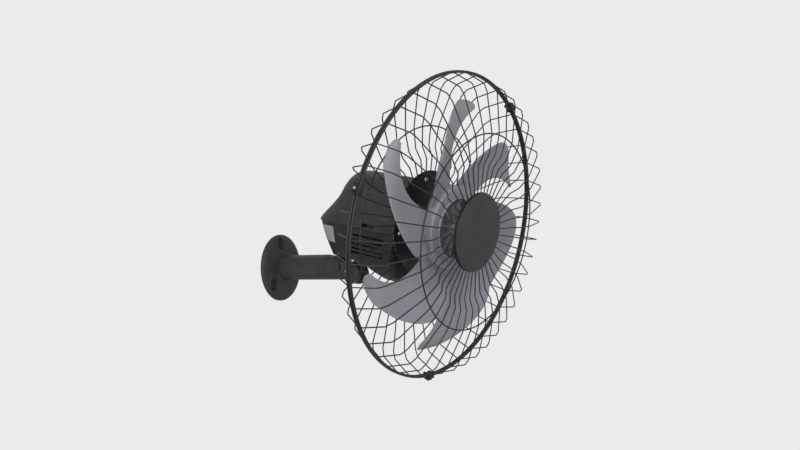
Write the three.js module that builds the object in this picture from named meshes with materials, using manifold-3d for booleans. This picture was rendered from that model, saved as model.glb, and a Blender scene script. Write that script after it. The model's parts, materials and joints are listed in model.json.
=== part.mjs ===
// Oscillating wall fan with a wire guard, in millimetres.
// The origin is the centre of the flange's wall face, the wall lies on +Y, +Z is up
// and the fan blows towards -Y. The head hangs in three nested groups: tilt, swivel and fan.
import * as THREE from 'three';
import { mergeVertices } from 'three/addons/utils/BufferGeometryUtils.js';
import Module from 'manifold-3d';

const wasm = await Module();
wasm.setup();

// ---- driving dimensions ------------------------------------------------------------------
const GAP = 0.3;                  // clearance between faces that touch on the real fan
const RUN = 0.5;                  // running clearance of parts that turn
const SIDES = 28;                 // facets of a large round piece
const SMALL_SIDES = 10;           // facets of a small round piece
const TRIM = 0.06;                // detail finer than this is merged away

const TILT_REST = 12.2;           // nose-down angle of the head as drawn, degrees
const YAW_REST = -9.5;            // swivel of the head as drawn, degrees
const PIVOT_OUT = 190;            // wall face to tilt pivot
const PIVOT_DROP = 7;             // tilt pivot below the arm's axis
const AXIS_RISE = 130;            // tilt pivot to fan axis, along the swivel axis
const RIM_AHEAD = 215;            // swivel axis to the guard's rim plane

const FLANGE_R = 73;
const FLANGE_BAND = 4.5;            // height of the flange's outer edge
const FLANGE_DISH = 9;            // height of the dish where the screws sit
const FLANGE_HOLE_PCR = 54;
const FLANGE_HOLE_R = 3.4;
const FLANGE_SINK_R = 10;
const FLANGE_SEAT = 4;            // metal left under the screw heads
const FLANGE_HOLE_ANGLES = [105, 225, 345];
const SPIGOT_LENGTH = 46;
const ARM_R = 27;
const ARM_WALL = 2.5;
const ARM_START = 12;             // wall face to the near end of the arm tube
const ARM_END = 130;
const SLEEVE = 38;                // the knuckle goes on as a round sleeve ahead of the tube
const TILT_UP = 4;                // the head tilts up by this from its drawn angle, degrees

const FORK_HALF = 23;             // half width of the arm's fork
const EYE_HALF = 10.5;            // half width of the neck's eye
const EYE_R = 17;
const FORK_R = 22.5;
const TILT_BOLT_R = 5;
const COLLAR_R = ARM_R - 1;
const COLLAR_TOP = 25;
const COLLAR_THICK = 5.5;
const POST_R = 12;
const POST_TOP = 68;

const RIM_R = 300;                // guard rims
const RIM_WIRE_R = 2.6;
const WIRE_R = 1.5;
const RING_WIRE_R = 1.8;
const WIRE_COUNT = 44;
const WIRE_PHASE = 1.2;           // angle of the first wire, degrees
const FRONT_RING = [RIM_R - 110, 73];     // radius and height of the front guard's middle ring
const REAR_RING = [RIM_R - 108.5, 68.5];
const FRONT_CORNER = [RIM_R - 18.5, 47.2];
const REAR_CORNER = [RIM_R - 21.5, 47.4];
const RECESS_R = 130;             // the guards step inwards inside this radius
const STEP_R = 152;
const FRONT_RECESS = 63;
const REAR_RECESS = 58;
const CLIP_AT = [7.5, 21, 33.5];  // in wire steps; a whole number sits on a wire

const CAP_R = 77.5;
const CAP_FACE = 68.7;
const CAP_DOME = 3.5;

const TIP_R = 250;                // impeller
const BLADE_COUNT = 6;
const BLADE_ANGLE = 22;           // turn of the first blade's root, degrees
const BLADE_T = 3;                // greatest thickness
const HUB_R = 83;
const HUB_FRONT = 40;             // the hub's front rim ahead of the rim plane
const HUB_BACK = 8;
const HUB_WEB = 20;               // the web's front face ahead of the rim plane
const HUB_SEAT = 26;              // the boss's front end, where the nut bears
const HUB_WALL = 3;
const SHAFT_R = 6;

const PLATE_R = 100;              // round plate that carries the rear guard
const DISC_HALF = 1.6;            // half thickness of the guards' centre discs
const PLATE_FRONT = REAR_RECESS + DISC_HALF + GAP;
const PLATE_SCREW_PCR = 88;
const PLATE_SCREW_ANGLES = [20, 110, 200, 290];
const MOTOR_R = 74;
const MOTOR_WALL = 3.4;
const MOTOR_FRONT = 65;           // behind the rim plane, as are the values below
const MOTOR_SPLIT = 122;
const MOTOR_BACK = 178;
const STATOR_INNER = 42;
const CORE_FROM = 104;
const CORE_TO = 140;
const BEARING_R = 14;
const BEARING_T = 9;
const FRONT_BEARING_AT = 74;
const REAR_BEARING_AT = 160;

const SHELL = 2.5;                // casing walls
const SPLIT_LOW = -37;            // the hood's lower edge, from the fan axis
const FLOOR = -104;               // underside of the lower housing
const CASING_FRONT = 65.2;
const GLAND_AT = [0, 205, -72];   // cable gland, on the casing's far side

const BOX = { x0: -27, x1: 44, y0: 183.3, y1: 253, z0: -38, z1: 31, wall: 3, cut: 24 };
const WORM_AT = 212;              // mesh point of the worm wheel
const WORM_R = 6;
const WORM_ROOT = 4.2;
const WHEEL_TEETH = 24;
const WHEEL_R = 15.6;             // pitch radius
const WHEEL_CENTRES = 21.4;
const PINION_TEETH = 10;
const OUTPUT_TEETH = 30;
const OUTPUT_R = 18;
const OUTPUT_ANGLE = 130;         // from the wheel's centre to the output gear's, degrees
const CRANK_RADIUS = 10.6;
const CRANK_ANGLE = 119.3;        // of the crank pin as drawn
const LINK_LENGTH = 30;
const LINK_ANGLE = 15.8;          // of the link as drawn
const ANCHOR = [-24, 16];         // the link's fixed pin, from the swivel axis

const GREY = { hood: 0x474748, lower: 0x2c2c2d, arm: 0x3e3e41, impeller: 0x85838b, wire: 0x4a4a4e };

// ---- helpers -----------------------------------------------------------------------------
const rad = THREE.MathUtils.degToRad;
const polar = (r, degrees) => [r * Math.cos(rad(degrees)), r * Math.sin(rad(degrees))];
const v2 = ([x, y]) => new THREE.Vector2(x, y);

// A three.js geometry as a solid, with its faces turned outwards.
function solid(geometry) {
  const bare = new THREE.BufferGeometry();
  bare.setAttribute('position', geometry.getAttribute('position'));
  if (geometry.index) bare.setIndex(geometry.index);
  const merged = mergeVertices(bare, 1e-4);
  const points = merged.getAttribute('position').array;
  const index = [];
  for (let i = 0; i < merged.index.count; i += 3) {
    const [a, b, c] = [0, 1, 2].map((k) => merged.index.getX(i + k));
    if (a !== b && b !== c && c !== a) index.push(a, b, c);
  }
  let volume = 0;
  for (let i = 0; i < index.length; i += 3) {
    const [a, b, c] = [0, 1, 2].map((k) => new THREE.Vector3().fromArray(points, 3 * index[i + k]));
    volume += a.dot(b.cross(c));
  }
  if (volume < 0) index.reverse();
  const mesh = new wasm.Mesh({
    numProp: 3,
    vertProperties: Float32Array.from(points),
    triVerts: Uint32Array.from(index),
  });
  return new wasm.Manifold(mesh);
}

function geometryOf(shape) {
  const mesh = shape.simplify(TRIM).getMesh();
  const geometry = new THREE.BufferGeometry();
  geometry.setAttribute('position', new THREE.BufferAttribute(mesh.vertProperties, 3));
  geometry.setIndex(new THREE.BufferAttribute(mesh.triVerts, 1));
  return geometry;
}

const union = (...shapes) => wasm.Manifold.union(shapes.flat());
const X_AXIS = [0, 0, 90];        // turns that lay a Y cylinder or lathe along X or Z
const Z_AXIS = [90, 0, 0];

// A revolve about Y. The profile is [radius, y] points, closed on itself.
function revolve(profile, sides = SIDES) {
  const points = [...profile, profile[0]].map(v2);
  return solid(new THREE.LatheGeometry(points, sides));
}

// A round bar along Y between two places.
function bar(r, y0, y1, sides = SMALL_SIDES, r1 = r) {
  const geometry = new THREE.CylinderGeometry(r1, r, y1 - y0, sides);
  geometry.translate(0, (y0 + y1) / 2, 0);
  return solid(geometry);
}

const ring = (r0, r1, y0, y1, sides = SIDES) =>
  revolve([[r0, y0], [r1, y0], [r1, y1], [r0, y1]], sides);

function box(x0, x1, y0, y1, z0, z1) {
  const geometry = new THREE.BoxGeometry(x1 - x0, y1 - y0, z1 - z0);
  geometry.translate((x0 + x1) / 2, (y0 + y1) / 2, (z0 + z1) / 2);
  return solid(geometry);
}

// A flat outline in X and Y, raised from z0 to z1.
function raise(outline, z0, z1, hole) {
  const shape = new THREE.Shape(outline.map(v2));
  if (hole) shape.holes.push(new THREE.Path(hole.map(v2)));
  const geometry = new THREE.ExtrudeGeometry(shape, { depth: z1 - z0, bevelEnabled: false });
  geometry.translate(0, 0, z0);
  return solid(geometry);
}

const circle = (r, sides = SMALL_SIDES, x = 0, y = 0) =>
  Array.from({ length: sides }, (_, i) => {
    const [cx, cy] = polar(r, (360 * i) / sides);
    return [x + cx, y + cy];
  });

// Sides between equal rings of points, closed with a flat fan at both ends.
function loft(rings) {
  const n = rings[0].length;
  const points = rings.flat();
  const index = [];
  for (let k = 0; k + 1 < rings.length; k += 1) {
    for (let i = 0; i < n; i += 1) {
      const [a, b] = [k * n + i, k * n + ((i + 1) % n)];
      index.push(a, b, b + n, a, b + n, a + n);
    }
  }
  const last = (rings.length - 1) * n;
  for (let i = 1; i + 1 < n; i += 1) index.push(0, i + 1, i, last, last + i, last + i + 1);
  const geometry = new THREE.BufferGeometry();
  geometry.setAttribute('position', new THREE.Float32BufferAttribute(points.flat(), 3));
  geometry.setIndex(index);
  return solid(geometry);
}

// ---- the groups that nest from the wall to the fan ------------------------------------------
const root = new THREE.Group();
const tilt = new THREE.Group();
tilt.position.set(0, -PIVOT_OUT, -PIVOT_DROP);
tilt.rotation.x = rad(TILT_REST);
const swivel = new THREE.Group();
swivel.rotation.z = rad(YAW_REST);
const fan = new THREE.Group();
fan.position.set(0, -RIM_AHEAD, AXIS_RISE);
root.add(tilt);
tilt.add(swivel);
swivel.add(fan);

function add(group, name, shape, color, roughness = 0.6, metalness = 0) {
  const material = new THREE.MeshStandardMaterial({ color, roughness, metalness });
  const mesh = new THREE.Mesh(geometryOf(shape), material);
  mesh.name = name;
  group.add(mesh);
}

const steel = (group, name, shape) => add(group, name, shape, 0xb4b4b6, 0.35, 1);

// A screw along Y: its domed head ahead of y, its shank behind.
function screw(headR, headH, shankR, length) {
  const head = bar(headR * 0.7, -headH, 0, SMALL_SIDES, headR);
  const slot = box(-0.5, 0.5, -headH - 1, -headH * 0.5, -headR, headR);
  return union(head.subtract(slot), bar(shankR, -0.01, length, 8));
}

const hexagon = (r) => circle(r, 6);

// ---- wall flange and arm -----------------------------------------------------------------
function wallFlange() {
  const socket = ARM_R - ARM_WALL - GAP;
  const flange = revolve([
    [0, 0], [FLANGE_R, 0], [FLANGE_R, -FLANGE_BAND], [FLANGE_R - 3, -FLANGE_BAND - 2.5],
    [FLANGE_R - 13, -FLANGE_DISH], [ARM_R + 16, -FLANGE_DISH - 1], [ARM_R + 5, -ARM_START + 2],
    [ARM_R + 1.5, -ARM_START + GAP], [socket, -ARM_START + GAP],
    [socket, -SPIGOT_LENGTH], [0, -SPIGOT_LENGTH],
  ]);
  const cuts = FLANGE_HOLE_ANGLES.map((angle) => {
    const [x, z] = polar(FLANGE_HOLE_PCR, angle);
    return union(bar(FLANGE_HOLE_R, -30, 1), bar(FLANGE_SINK_R, -30, -FLANGE_SEAT, 16)).translate([x, 0, z]);
  });
  return flange.subtract(union(cuts));
}

function armTube() {
  return ring(ARM_R - ARM_WALL, ARM_R, -ARM_END, -ARM_START);
}

// The fork goes on from a sleeve on the tube's end. Its profile lies in the YZ plane.
// What is cut away above is the way of the neck's collar and the casing's floor, with the
// head tilted fully up.
function armKnuckle() {
  const [py, pz] = [-PIVOT_OUT, -PIVOT_DROP];
  const turn = Array.from({ length: 13 }, (_, i) => {
    const [dy, dz] = polar(FORK_R, 75 + i * 17.5);
    return [py - 1 + dy, pz - 7 + dz];
  });
  const front = ARM_END + SLEEVE;
  const top = [[-front + 4, ARM_R / 2 - 1], [-front, ARM_R / 2 - 1]];
  const bottom = [[-front, -ARM_R / 2], [-front + 4, -ARM_R / 2]];
  const outline = [...top, ...turn, ...bottom];
  const sideways = new THREE.Matrix4().makeBasis(
    new THREE.Vector3(0, 1, 0), new THREE.Vector3(0, 0, 1), new THREE.Vector3(1, 0, 0));
  const body = raise(outline, -FORK_HALF, FORK_HALF).transform(sideways.elements);
  const sleeve = bar(ARM_R, -front, -ARM_END - GAP, SIDES);
  const plug = bar(ARM_R - ARM_WALL - GAP, -ARM_END - 1, -ARM_END + 30, SIDES);
  const slotHalf = EYE_HALF + RUN;
  const slot = box(-slotHalf, slotHalf, py - 60, py + EYE_R + 4, -60, 60);
  const bore = bar(TILT_BOLT_R + GAP, -40, 40).rotate(X_AXIS).translate([0, py, pz]);
  const room = bar(COLLAR_R + 1.5, COLLAR_TOP - COLLAR_THICK - 1.5, COLLAR_TOP, SIDES);
  const roof = union(room.rotate(Z_AXIS),
    box(-ARM_R, ARM_R, -COLLAR_R, PIVOT_OUT, COLLAR_TOP - 0.6, AXIS_RISE))
    .rotate([TILT_REST - TILT_UP, 0, 0]).translate([0, py, pz]);
  return union(body, sleeve, plug).subtract(union(slot, bore, roof));
}

add(root, 'wall_flange', wallFlange(), GREY.arm, 0.55);
add(root, 'arm_tube', armTube(), GREY.arm, 0.55);
add(root, 'arm_knuckle', armKnuckle(), GREY.arm, 0.55);
const boltAt = [0, -PIVOT_OUT, -PIVOT_DROP];
const boltOut = FORK_HALF + GAP;
steel(root, 'tilt_bolt', union(
  raise(hexagon(8), 0, 5).rotate([0, 90, 0]).translate([-boltOut - 5, 0, 0]),
  bar(TILT_BOLT_R, -boltOut - 1, FORK_HALF + 14).rotate([0, 0, -90])).translate(boltAt));
steel(root, 'tilt_nut', raise(hexagon(9.5), 0, 8, circle(TILT_BOLT_R + GAP))
  .rotate([0, 90, 0]).translate([boltOut, 0, 0]).translate(boltAt));

// ---- neck: tilts on the arm and carries the swivel post ------------------------------------
function neckBlock() {
  const eye = bar(EYE_R, -EYE_HALF, EYE_HALF, SIDES).rotate(X_AXIS);
  const stem = box(-EYE_HALF, EYE_HALF, -14, 14, 0, COLLAR_TOP - 1);
  const collar = bar(COLLAR_R, COLLAR_TOP - COLLAR_THICK, COLLAR_TOP, SIDES).rotate(Z_AXIS);
  const post = bar(POST_R, COLLAR_TOP - 1, POST_TOP - GAP, SIDES).rotate(Z_AXIS);
  const bore = bar(TILT_BOLT_R + RUN, -40, 40).rotate(X_AXIS);
  const tapped = bar(2.6, POST_TOP - 20, POST_TOP + 1).rotate(Z_AXIS);
  const side = bar(2.3, -COLLAR_R - 1, -COLLAR_R + 8).rotate([0, 0, -90])
    .translate([0, -6, COLLAR_TOP - COLLAR_THICK / 2]);
  return union(eye, stem, collar, post).subtract(union(bore, tapped, side));
}

// The outline of a strap between a round end at the origin and one at [length, 0].
function strap(r0, r1, length) {
  const near = Array.from({ length: 9 }, (_, i) => polar(r0, 90 + i * 22.5));
  const far = Array.from({ length: 9 }, (_, i) => polar(r1, -90 + i * 22.5));
  return [...near, ...far.map(([x, y]) => [x + length, y])];
}

function linkAnchor() {
  const [x, y] = ANCHOR;
  const plate = raise(strap(13, 7, Math.hypot(x, y)), POST_TOP, POST_TOP + 4, circle(2.9))
    .rotate([0, 0, THREE.MathUtils.radToDeg(Math.atan2(y, x))]);
  const pin = bar(3, POST_TOP + 3, POST_TOP + 11.1).rotate(Z_AXIS).translate([x, y, 0]);
  return union(plate, pin);
}

add(tilt, 'neck_block', neckBlock(), 0x2f2f31, 0.5);
steel(tilt, 'stop_screw', screw(3.6, 2.4, 2, 6).rotate([0, 0, -90]).translate(
  [-Math.sqrt(COLLAR_R ** 2 - 6 ** 2) - 1, -6, COLLAR_TOP - COLLAR_THICK / 2]));
steel(tilt, 'link_anchor', linkAnchor());
steel(tilt, 'retaining_screw', screw(7, 2.3, 2.3, 20).rotate([-90, 0, 0])
  .translate([0, 0, POST_TOP + 4 + GAP]));
add(tilt, 'thrust_washer', ring(POST_R + GAP, 20, COLLAR_TOP + GAP, COLLAR_TOP + 3.3)
  .rotate(Z_AXIS), 0xd8d4c8, 0.5);

function linkRod() {
  const bore = 3.4;
  const rod = raise(strap(7, 7, LINK_LENGTH), 0, 3.7, circle(bore));
  const far = bar(bore, -1, 5).rotate(Z_AXIS).translate([LINK_LENGTH, 0, 0]);
  return rod.subtract(far).rotate([0, 0, LINK_ANGLE]);
}
const LINK_LOW = AXIS_RISE - 55;
steel(tilt, 'link_rod', linkRod().translate([...ANCHOR, LINK_LOW]));

// ---- chassis: turns on the post, carries the motor and the gearbox -------------------------
function chassis() {
  const low = COLLAR_TOP + 3.6;
  const cup = ring(POST_R + 4 + GAP, 22, low, 60).rotate(Z_AXIS);
  const back = RIM_AHEAD - MOTOR_BACK - GAP;
  const foot = box(-30, 30, -back, 24, low, low + 4);
  const hole = bar(POST_R + 4 + GAP, low - 1, 80, SIDES).rotate(Z_AXIS);
  const wall = box(-40, 40, -back, -back + 4.5, low, AXIS_RISE + 44);
  const gusset = raise([[-back + 1, low], [20, low], [-back + 1, 84]], -2, 2)
    .rotate([90, 0, 90]);
  const gussets = union(gusset.translate([27, 0, 0]), gusset.translate([-27, 0, 0]));
  const shaftHole = bar(SHAFT_R + 4, -60, 0).translate([0, 0, AXIS_RISE]);
  return union(cup, foot.subtract(hole), wall, gussets).subtract(shaftHole);
}

add(swivel, 'chassis', chassis(), 0x8d8f92, 0.45, 0.8);
add(swivel, 'swivel_bush', ring(POST_R + GAP, POST_R + 4, COLLAR_TOP + 3.6, 60)
  .rotate(Z_AXIS), 0xd8d4c8, 0.5);

// ---- gearbox: worm wheel, output gear and crank ----------------------------------------------
const gearCentres = (OUTPUT_R * (PINION_TEETH + OUTPUT_TEETH)) / OUTPUT_TEETH;
const outputOffset = polar(gearCentres, OUTPUT_ANGLE);
const OUTPUT_AT = [WHEEL_CENTRES + outputOffset[0], WORM_AT + outputOffset[1]];

function gearOutline(teeth, tipR, rootR, share) {
  const outline = [];
  const step = 360 / teeth;
  for (let i = 0; i < teeth; i += 1) {
    const a = i * step;
    outline.push(polar(rootR, a - share * step * 0.62), polar(tipR, a - share * step * 0.36));
    outline.push(polar(tipR, a + share * step * 0.36), polar(rootR, a + share * step * 0.62));
  }
  return outline;
}

// The box's outline from above, with its rear corners cut off to fit the casing's tail.
function boxOutline(inset) {
  const b = BOX;
  return [[b.x0 + inset, b.y0 + inset], [b.x1 - inset, b.y0 + inset], [b.x1 - inset, b.y1 - b.cut],
    [b.x1 - b.cut * 0.75, b.y1 - inset], [b.x0 + b.cut / 3, b.y1 - inset],
    [b.x0 + inset, b.y1 - b.cut / 3]];
}

const LID_POSTS = [[BOX.x0 + 5, BOX.y0 + 5], [BOX.x1 - 5, BOX.y1 - BOX.cut],
  [BOX.x1 - 5, BOX.y0 + 5], [BOX.x0 + 5, BOX.y1 - BOX.cut * 0.6]];
const LID_SCREWS = LID_POSTS.slice(0, 2);

function gearboxCase() {
  const b = BOX;
  const shell = raise(boxOutline(0), b.z0, b.z1);
  const room = raise(boxOutline(b.wall), b.z0 + b.wall, b.z1 + 1);
  const shaftHole = bar(SHAFT_R + 2, b.y0 - 1, b.y0 + 10);
  const step = bar(6, 0, 6).rotate(Z_AXIS).translate([WHEEL_CENTRES, WORM_AT, b.z0 + b.wall - 0.5]);
  const stepBore = bar(3 + RUN, -10, 30).rotate(Z_AXIS)
    .translate([WHEEL_CENTRES, WORM_AT, b.z0 + b.wall + 12]);
  const outBore = bar(4 + RUN, -20, 20).rotate(Z_AXIS)
    .translate([...OUTPUT_AT, b.z0]);
  const posts = LID_POSTS.map(([x, y]) => bar(3.6, -20, 0).rotate(Z_AXIS).translate([x, y, b.z1]));
  const taps = LID_SCREWS.map(([x, y]) => bar(1.7, -12, 1).rotate(Z_AXIS).translate([x, y, b.z1]));
  return union(shell.subtract(room), step, posts)
    .subtract(union(shaftHole, stepBore, outBore, taps));
}

function gearboxLid() {
  const b = BOX;
  const lid = raise(boxOutline(0), b.z1 + GAP, b.z1 + GAP + 3);
  const taps = LID_SCREWS.map(([x, y]) => bar(1.9, -5, 5).rotate(Z_AXIS).translate([x, y, b.z1 + 3]));
  const seat = bar(5.5, -9, 0).rotate(Z_AXIS).translate([WHEEL_CENTRES, WORM_AT, b.z1 + GAP + 1]);
  const bore = bar(3 + RUN, -8, 0).rotate(Z_AXIS).translate([WHEEL_CENTRES, WORM_AT, b.z1 - 0.5]);
  return union(lid, seat).subtract(union(taps, bore));
}

function wormWheel() {
  const wheel = raise(gearOutline(WHEEL_TEETH, WHEEL_R + 1, WHEEL_R - 1.3, 0.44), -3, 3);
  const pinion = raise(gearOutline(PINION_TEETH, OUTPUT_R / 3 + 1, OUTPUT_R / 3 - 1.3, 0.42), -26, -17);
  const arbor = bar(3, -BOX.z1 + 3, -BOX.z0 - 5.5).rotate(Z_AXIS).rotate([180, 0, 0]);
  return union(wheel.rotate([0, 0, 180 / WHEEL_TEETH]),
    pinion.rotate([0, 0, OUTPUT_ANGLE + 180 / PINION_TEETH]), arbor);
}

function outputGear() {
  const gear = raise(gearOutline(OUTPUT_TEETH, OUTPUT_R + 1, OUTPUT_R - 1.3, 0.42), -25, -18);
  const arbor = bar(4, 18.5, -BOX.z0 + 8).rotate([-90, 0, 0]);
  return union(gear.rotate([0, 0, OUTPUT_ANGLE + 180]), arbor);
}

function crankDisc() {
  const disc = raise(circle(16, SIDES), BOX.z0 - 8, BOX.z0 - 4, circle(4 + GAP));
  const pin = raise(circle(3), BOX.z0 - 12.6, BOX.z0 - 7.5)
    .translate([...polar(CRANK_RADIUS, CRANK_ANGLE), 0]);
  return union(disc, pin);
}

add(fan, 'gearbox_case', gearboxCase(), 0x8d8f92, 0.5, 0.8);
add(fan, 'gearbox_lid', gearboxLid(), 0x8d8f92, 0.5, 0.8);
add(fan, 'worm_wheel', wormWheel().translate([WHEEL_CENTRES, WORM_AT, 0]), 0xe4ddc8, 0.5);
add(fan, 'output_gear', outputGear().translate([...OUTPUT_AT, 0]), 0xe4ddc8, 0.5);
steel(fan, 'crank_disc', crankDisc().translate([...OUTPUT_AT, 0]));
LID_SCREWS.forEach(([x, y], i) => {
  steel(fan, `lid_screw_${i + 1}`, screw(3, 2, 1.4, 10).rotate([-90, 0, 0])
    .translate([x, y, BOX.z1 + 3 + 2 * GAP]));
});

// ---- motor -----------------------------------------------------------------------------------
function shield(face, edge, bearingAt) {
  const side = Math.sign(edge - face);
  const seat = bearingAt + (side > 0 ? BEARING_T : 0);
  const inner = MOTOR_R - MOTOR_WALL;
  const seatR = BEARING_R + GAP;
  return revolve([
    [SHAFT_R + 2, face], [MOTOR_R - 5, face], [MOTOR_R, face + side * 5], [MOTOR_R, edge],
    [inner, edge], [inner, face + side * 5], [seatR + 4, face + side * 4], [seatR + 4, seat],
    [seatR, seat], [seatR, side > 0 ? bearingAt - GAP : bearingAt + BEARING_T + GAP],
    [SHAFT_R + 2, side > 0 ? bearingAt - GAP : bearingAt + BEARING_T + GAP],
  ]);
}

function stator() {
  const outer = MOTOR_R - MOTOR_WALL - GAP;
  const slots = Array.from({ length: 12 }, (_, i) => box(-3.5, 3.5, CORE_FROM - 1, CORE_TO + 1, 0, 8)
    .translate([0, 0, STATOR_INNER - 2]).rotate([0, i * 30, 0]));
  const core = ring(STATOR_INNER, outer, CORE_FROM, CORE_TO).subtract(union(slots));
  const coil = (y0, y1) => ring(STATOR_INNER + 7, outer - 7, y0, y1);
  return union(core, coil(CORE_FROM - 12, CORE_FROM + 1), coil(CORE_TO - 1, CORE_TO + 12));
}

function shaft() {
  const spindle = bar(SHAFT_R, -HUB_FRONT - 8, WORM_AT - 14);
  const journal = bar(WORM_ROOT, WORM_AT - 15, BOX.y1 - BOX.wall - 2);
  const pitch = (2 * Math.PI * WHEEL_R) / WHEEL_TEETH;
  const turns = 6;
  const perTurn = 9;
  const half = 0.75;
  const rings = [];
  for (let i = 0; i <= turns * perTurn; i += 1) {
    const a = (360 * i) / perTurn;
    const y = WORM_AT + pitch * (i / perTurn - turns / 2);
    const at = (r, dy) => {
      const [x, z] = polar(r, a);
      return [x, y + dy, z];
    };
    rings.push([at(WORM_ROOT - 0.7, -half * 1.6), at(WORM_R, -half), at(WORM_R, half),
      at(WORM_ROOT - 0.7, half * 1.6)]);
  }
  return union(spindle, journal, loft(rings));
}

add(fan, 'motor_front_shield', shield(MOTOR_FRONT, MOTOR_SPLIT - GAP, FRONT_BEARING_AT),
  0x9a9c9f, 0.45, 0.8);
add(fan, 'motor_rear_shield', shield(MOTOR_BACK, MOTOR_SPLIT, REAR_BEARING_AT),
  0x9a9c9f, 0.45, 0.8);
add(fan, 'stator', stator(), 0x8a5a34, 0.5, 0.6);
steel(fan, 'rotor_core', ring(SHAFT_R + GAP, STATOR_INNER - 1, CORE_FROM, CORE_TO));
steel(fan, 'shaft', shaft());
const bearing = (at) => ring(SHAFT_R + GAP, BEARING_R, at, at + BEARING_T, 16);
steel(fan, 'front_bearing', bearing(FRONT_BEARING_AT));
steel(fan, 'rear_bearing', bearing(REAR_BEARING_AT));
const CAPACITOR_R = 14;
add(fan, 'capacitor', bar(CAPACITOR_R, -26, 26, SIDES).rotate(X_AXIS)
  .translate([0, WORM_AT + 2, BOX.z1 + 3 + 2 * GAP + CAPACITOR_R]), 0xdadada, 0.4);

// ---- casing ------------------------------------------------------------------------------------
// A level of the casing: rounded front corners and an elliptic tail, as a closed outline.
function level({ z, half, front, back, tail }, inset = 0) {
  const w = Math.max(half - inset, 1);
  const [f, b] = [front + inset, back - inset];
  const t = Math.min(tail, b - f - 14);
  const corner = Math.min(9, w * 0.6);
  const points = [];
  for (let i = 0; i <= 16; i += 1) {
    const [cx, cy] = polar(1, (180 * i) / 16);
    points.push([w * cx, b - t + t * cy, z]);
  }
  for (let i = 0; i <= 3; i += 1) {
    const [cx, cy] = polar(corner, 180 + i * 30);
    points.push([-w + corner + cx, f + corner + cy, z]);
  }
  for (let i = 0; i <= 3; i += 1) {
    const [cx, cy] = polar(corner, 270 + i * 30);
    points.push([w - corner + cx, f + corner + cy, z]);
  }
  return points;
}

const HOOD_LEVELS = [
  { z: SPLIT_LOW, half: 88, front: CASING_FRONT, back: 315, tail: 126 },
  { z: -24, half: 88, front: CASING_FRONT, back: 306, tail: 119 },
  { z: 0, half: 87, front: CASING_FRONT, back: 283, tail: 99 },
  { z: 20, half: 84, front: CASING_FRONT, back: 267, tail: 84 },
  { z: 45, half: 76, front: CASING_FRONT, back: 258, tail: 74 },
  { z: 62, half: 66, front: CASING_FRONT, back: 248, tail: 60 },
  { z: 74, half: 52, front: CASING_FRONT, back: 237, tail: 46 },
  { z: 81, half: 34, front: CASING_FRONT + 3, back: 224, tail: 34 },
  { z: 83, half: 20, front: CASING_FRONT + 8, back: 212, tail: 24 },
];
const LOWER_LEVELS = [
  { z: SPLIT_LOW - GAP, half: 86, front: CASING_FRONT, back: 312, tail: 124 },
  { z: -75, half: 83, front: CASING_FRONT, back: 283, tail: 102 },
  { z: -96, half: 72, front: CASING_FRONT, back: 269, tail: 90 },
  { z: FLOOR, half: 62, front: CASING_FRONT + 2, back: 266, tail: 85 },
];
const BELLY_LEVELS = [
  { z: FLOOR + 6, half: 64, front: CASING_FRONT + 1, back: 182, tail: 40 },
  { z: FLOOR - 4, half: 58, front: CASING_FRONT + 2, back: 172, tail: 40 },
  { z: -120, half: 44, front: CASING_FRONT + 6, back: 148, tail: 34 },
  { z: -129, half: 26, front: CASING_FRONT + 12, back: 122, tail: 18 },
];

function hood() {
  const outer = loft(HOOD_LEVELS.map((l) => level(l)));
  const inner = loft(HOOD_LEVELS.map((l, i) => {
    const last = i === HOOD_LEVELS.length - 1;
    const z = i === 0 ? l.z - 1 : l.z - (last ? SHELL : SHELL * 0.5);
    return level({ ...l, z }, SHELL);
  }));
  const mouth = bar(MOTOR_R + 2, CASING_FRONT - 5, CASING_FRONT + 10, SIDES);
  const recess = (side) => box(-2.5, 2.5, 118, 150, -33, -26).translate([side * 88, 0, 0]);
  return outer.subtract(union(inner, mouth, recess(-1), recess(1)));
}

function lowerHousing() {
  const lift = (levels, raiseFirst) => loft(levels.map((l, i) => {
    const z = i === 0 ? l.z + raiseFirst : l.z + (i === levels.length - 1 ? SHELL : SHELL * 0.5);
    return level({ ...l, z }, SHELL);
  }));
  const outer = union(loft(LOWER_LEVELS.map((l) => level(l))), loft(BELLY_LEVELS.map((l) => level(l))));
  const inner = union(lift(LOWER_LEVELS, 1), lift(BELLY_LEVELS, 4));
  const mouth = bar(MOTOR_R + 2, CASING_FRONT - 5, CASING_FRONT + 10, SIDES);
  const neckHole = bar(23, FLOOR - 10, FLOOR + 20, SIDES).rotate(Z_AXIS).translate([0, RIM_AHEAD, 0]);
  const vents = [];
  for (let i = 0; i < 5; i += 1) {
    const z = -54 - i * 8.5;
    vents.push(box(-100, -70, 88, 176, z, z + 3.5), box(70, 100, 88, 176, z, z + 3.5));
  }
  const glandHole = bar(7.5, 60, 110).rotate([0, 0, -90]).translate(GLAND_AT);
  return outer.subtract(union(inner, mouth, neckHole, vents, glandHole));
}

function cableGland() {
  const body = union(bar(7, 68, 96).rotate([0, 0, -90]), raise(hexagon(11), 82.8, 89).rotate([0, 90, 0]));
  return body.subtract(bar(4, 60, 110).rotate([0, 0, -90])).translate(GLAND_AT);
}

add(fan, 'hood', hood(), GREY.hood, 0.45);
add(fan, 'lower_housing', lowerHousing(), GREY.lower, 0.6);
add(fan, 'cable_gland', cableGland(), 0x1c1c1d, 0.6);

// ---- guards --------------------------------------------------------------------------------------
const screwHoles = union(PLATE_SCREW_ANGLES.map((angle) => {
  const [x, z] = polar(PLATE_SCREW_PCR, angle);
  return bar(2.3, 40, 90).translate([x, 0, z]);
}));
const mountPlate = () => ring(SHAFT_R + 3, PLATE_R, PLATE_FRONT, MOTOR_FRONT - GAP)
  .subtract(screwHoles);

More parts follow.
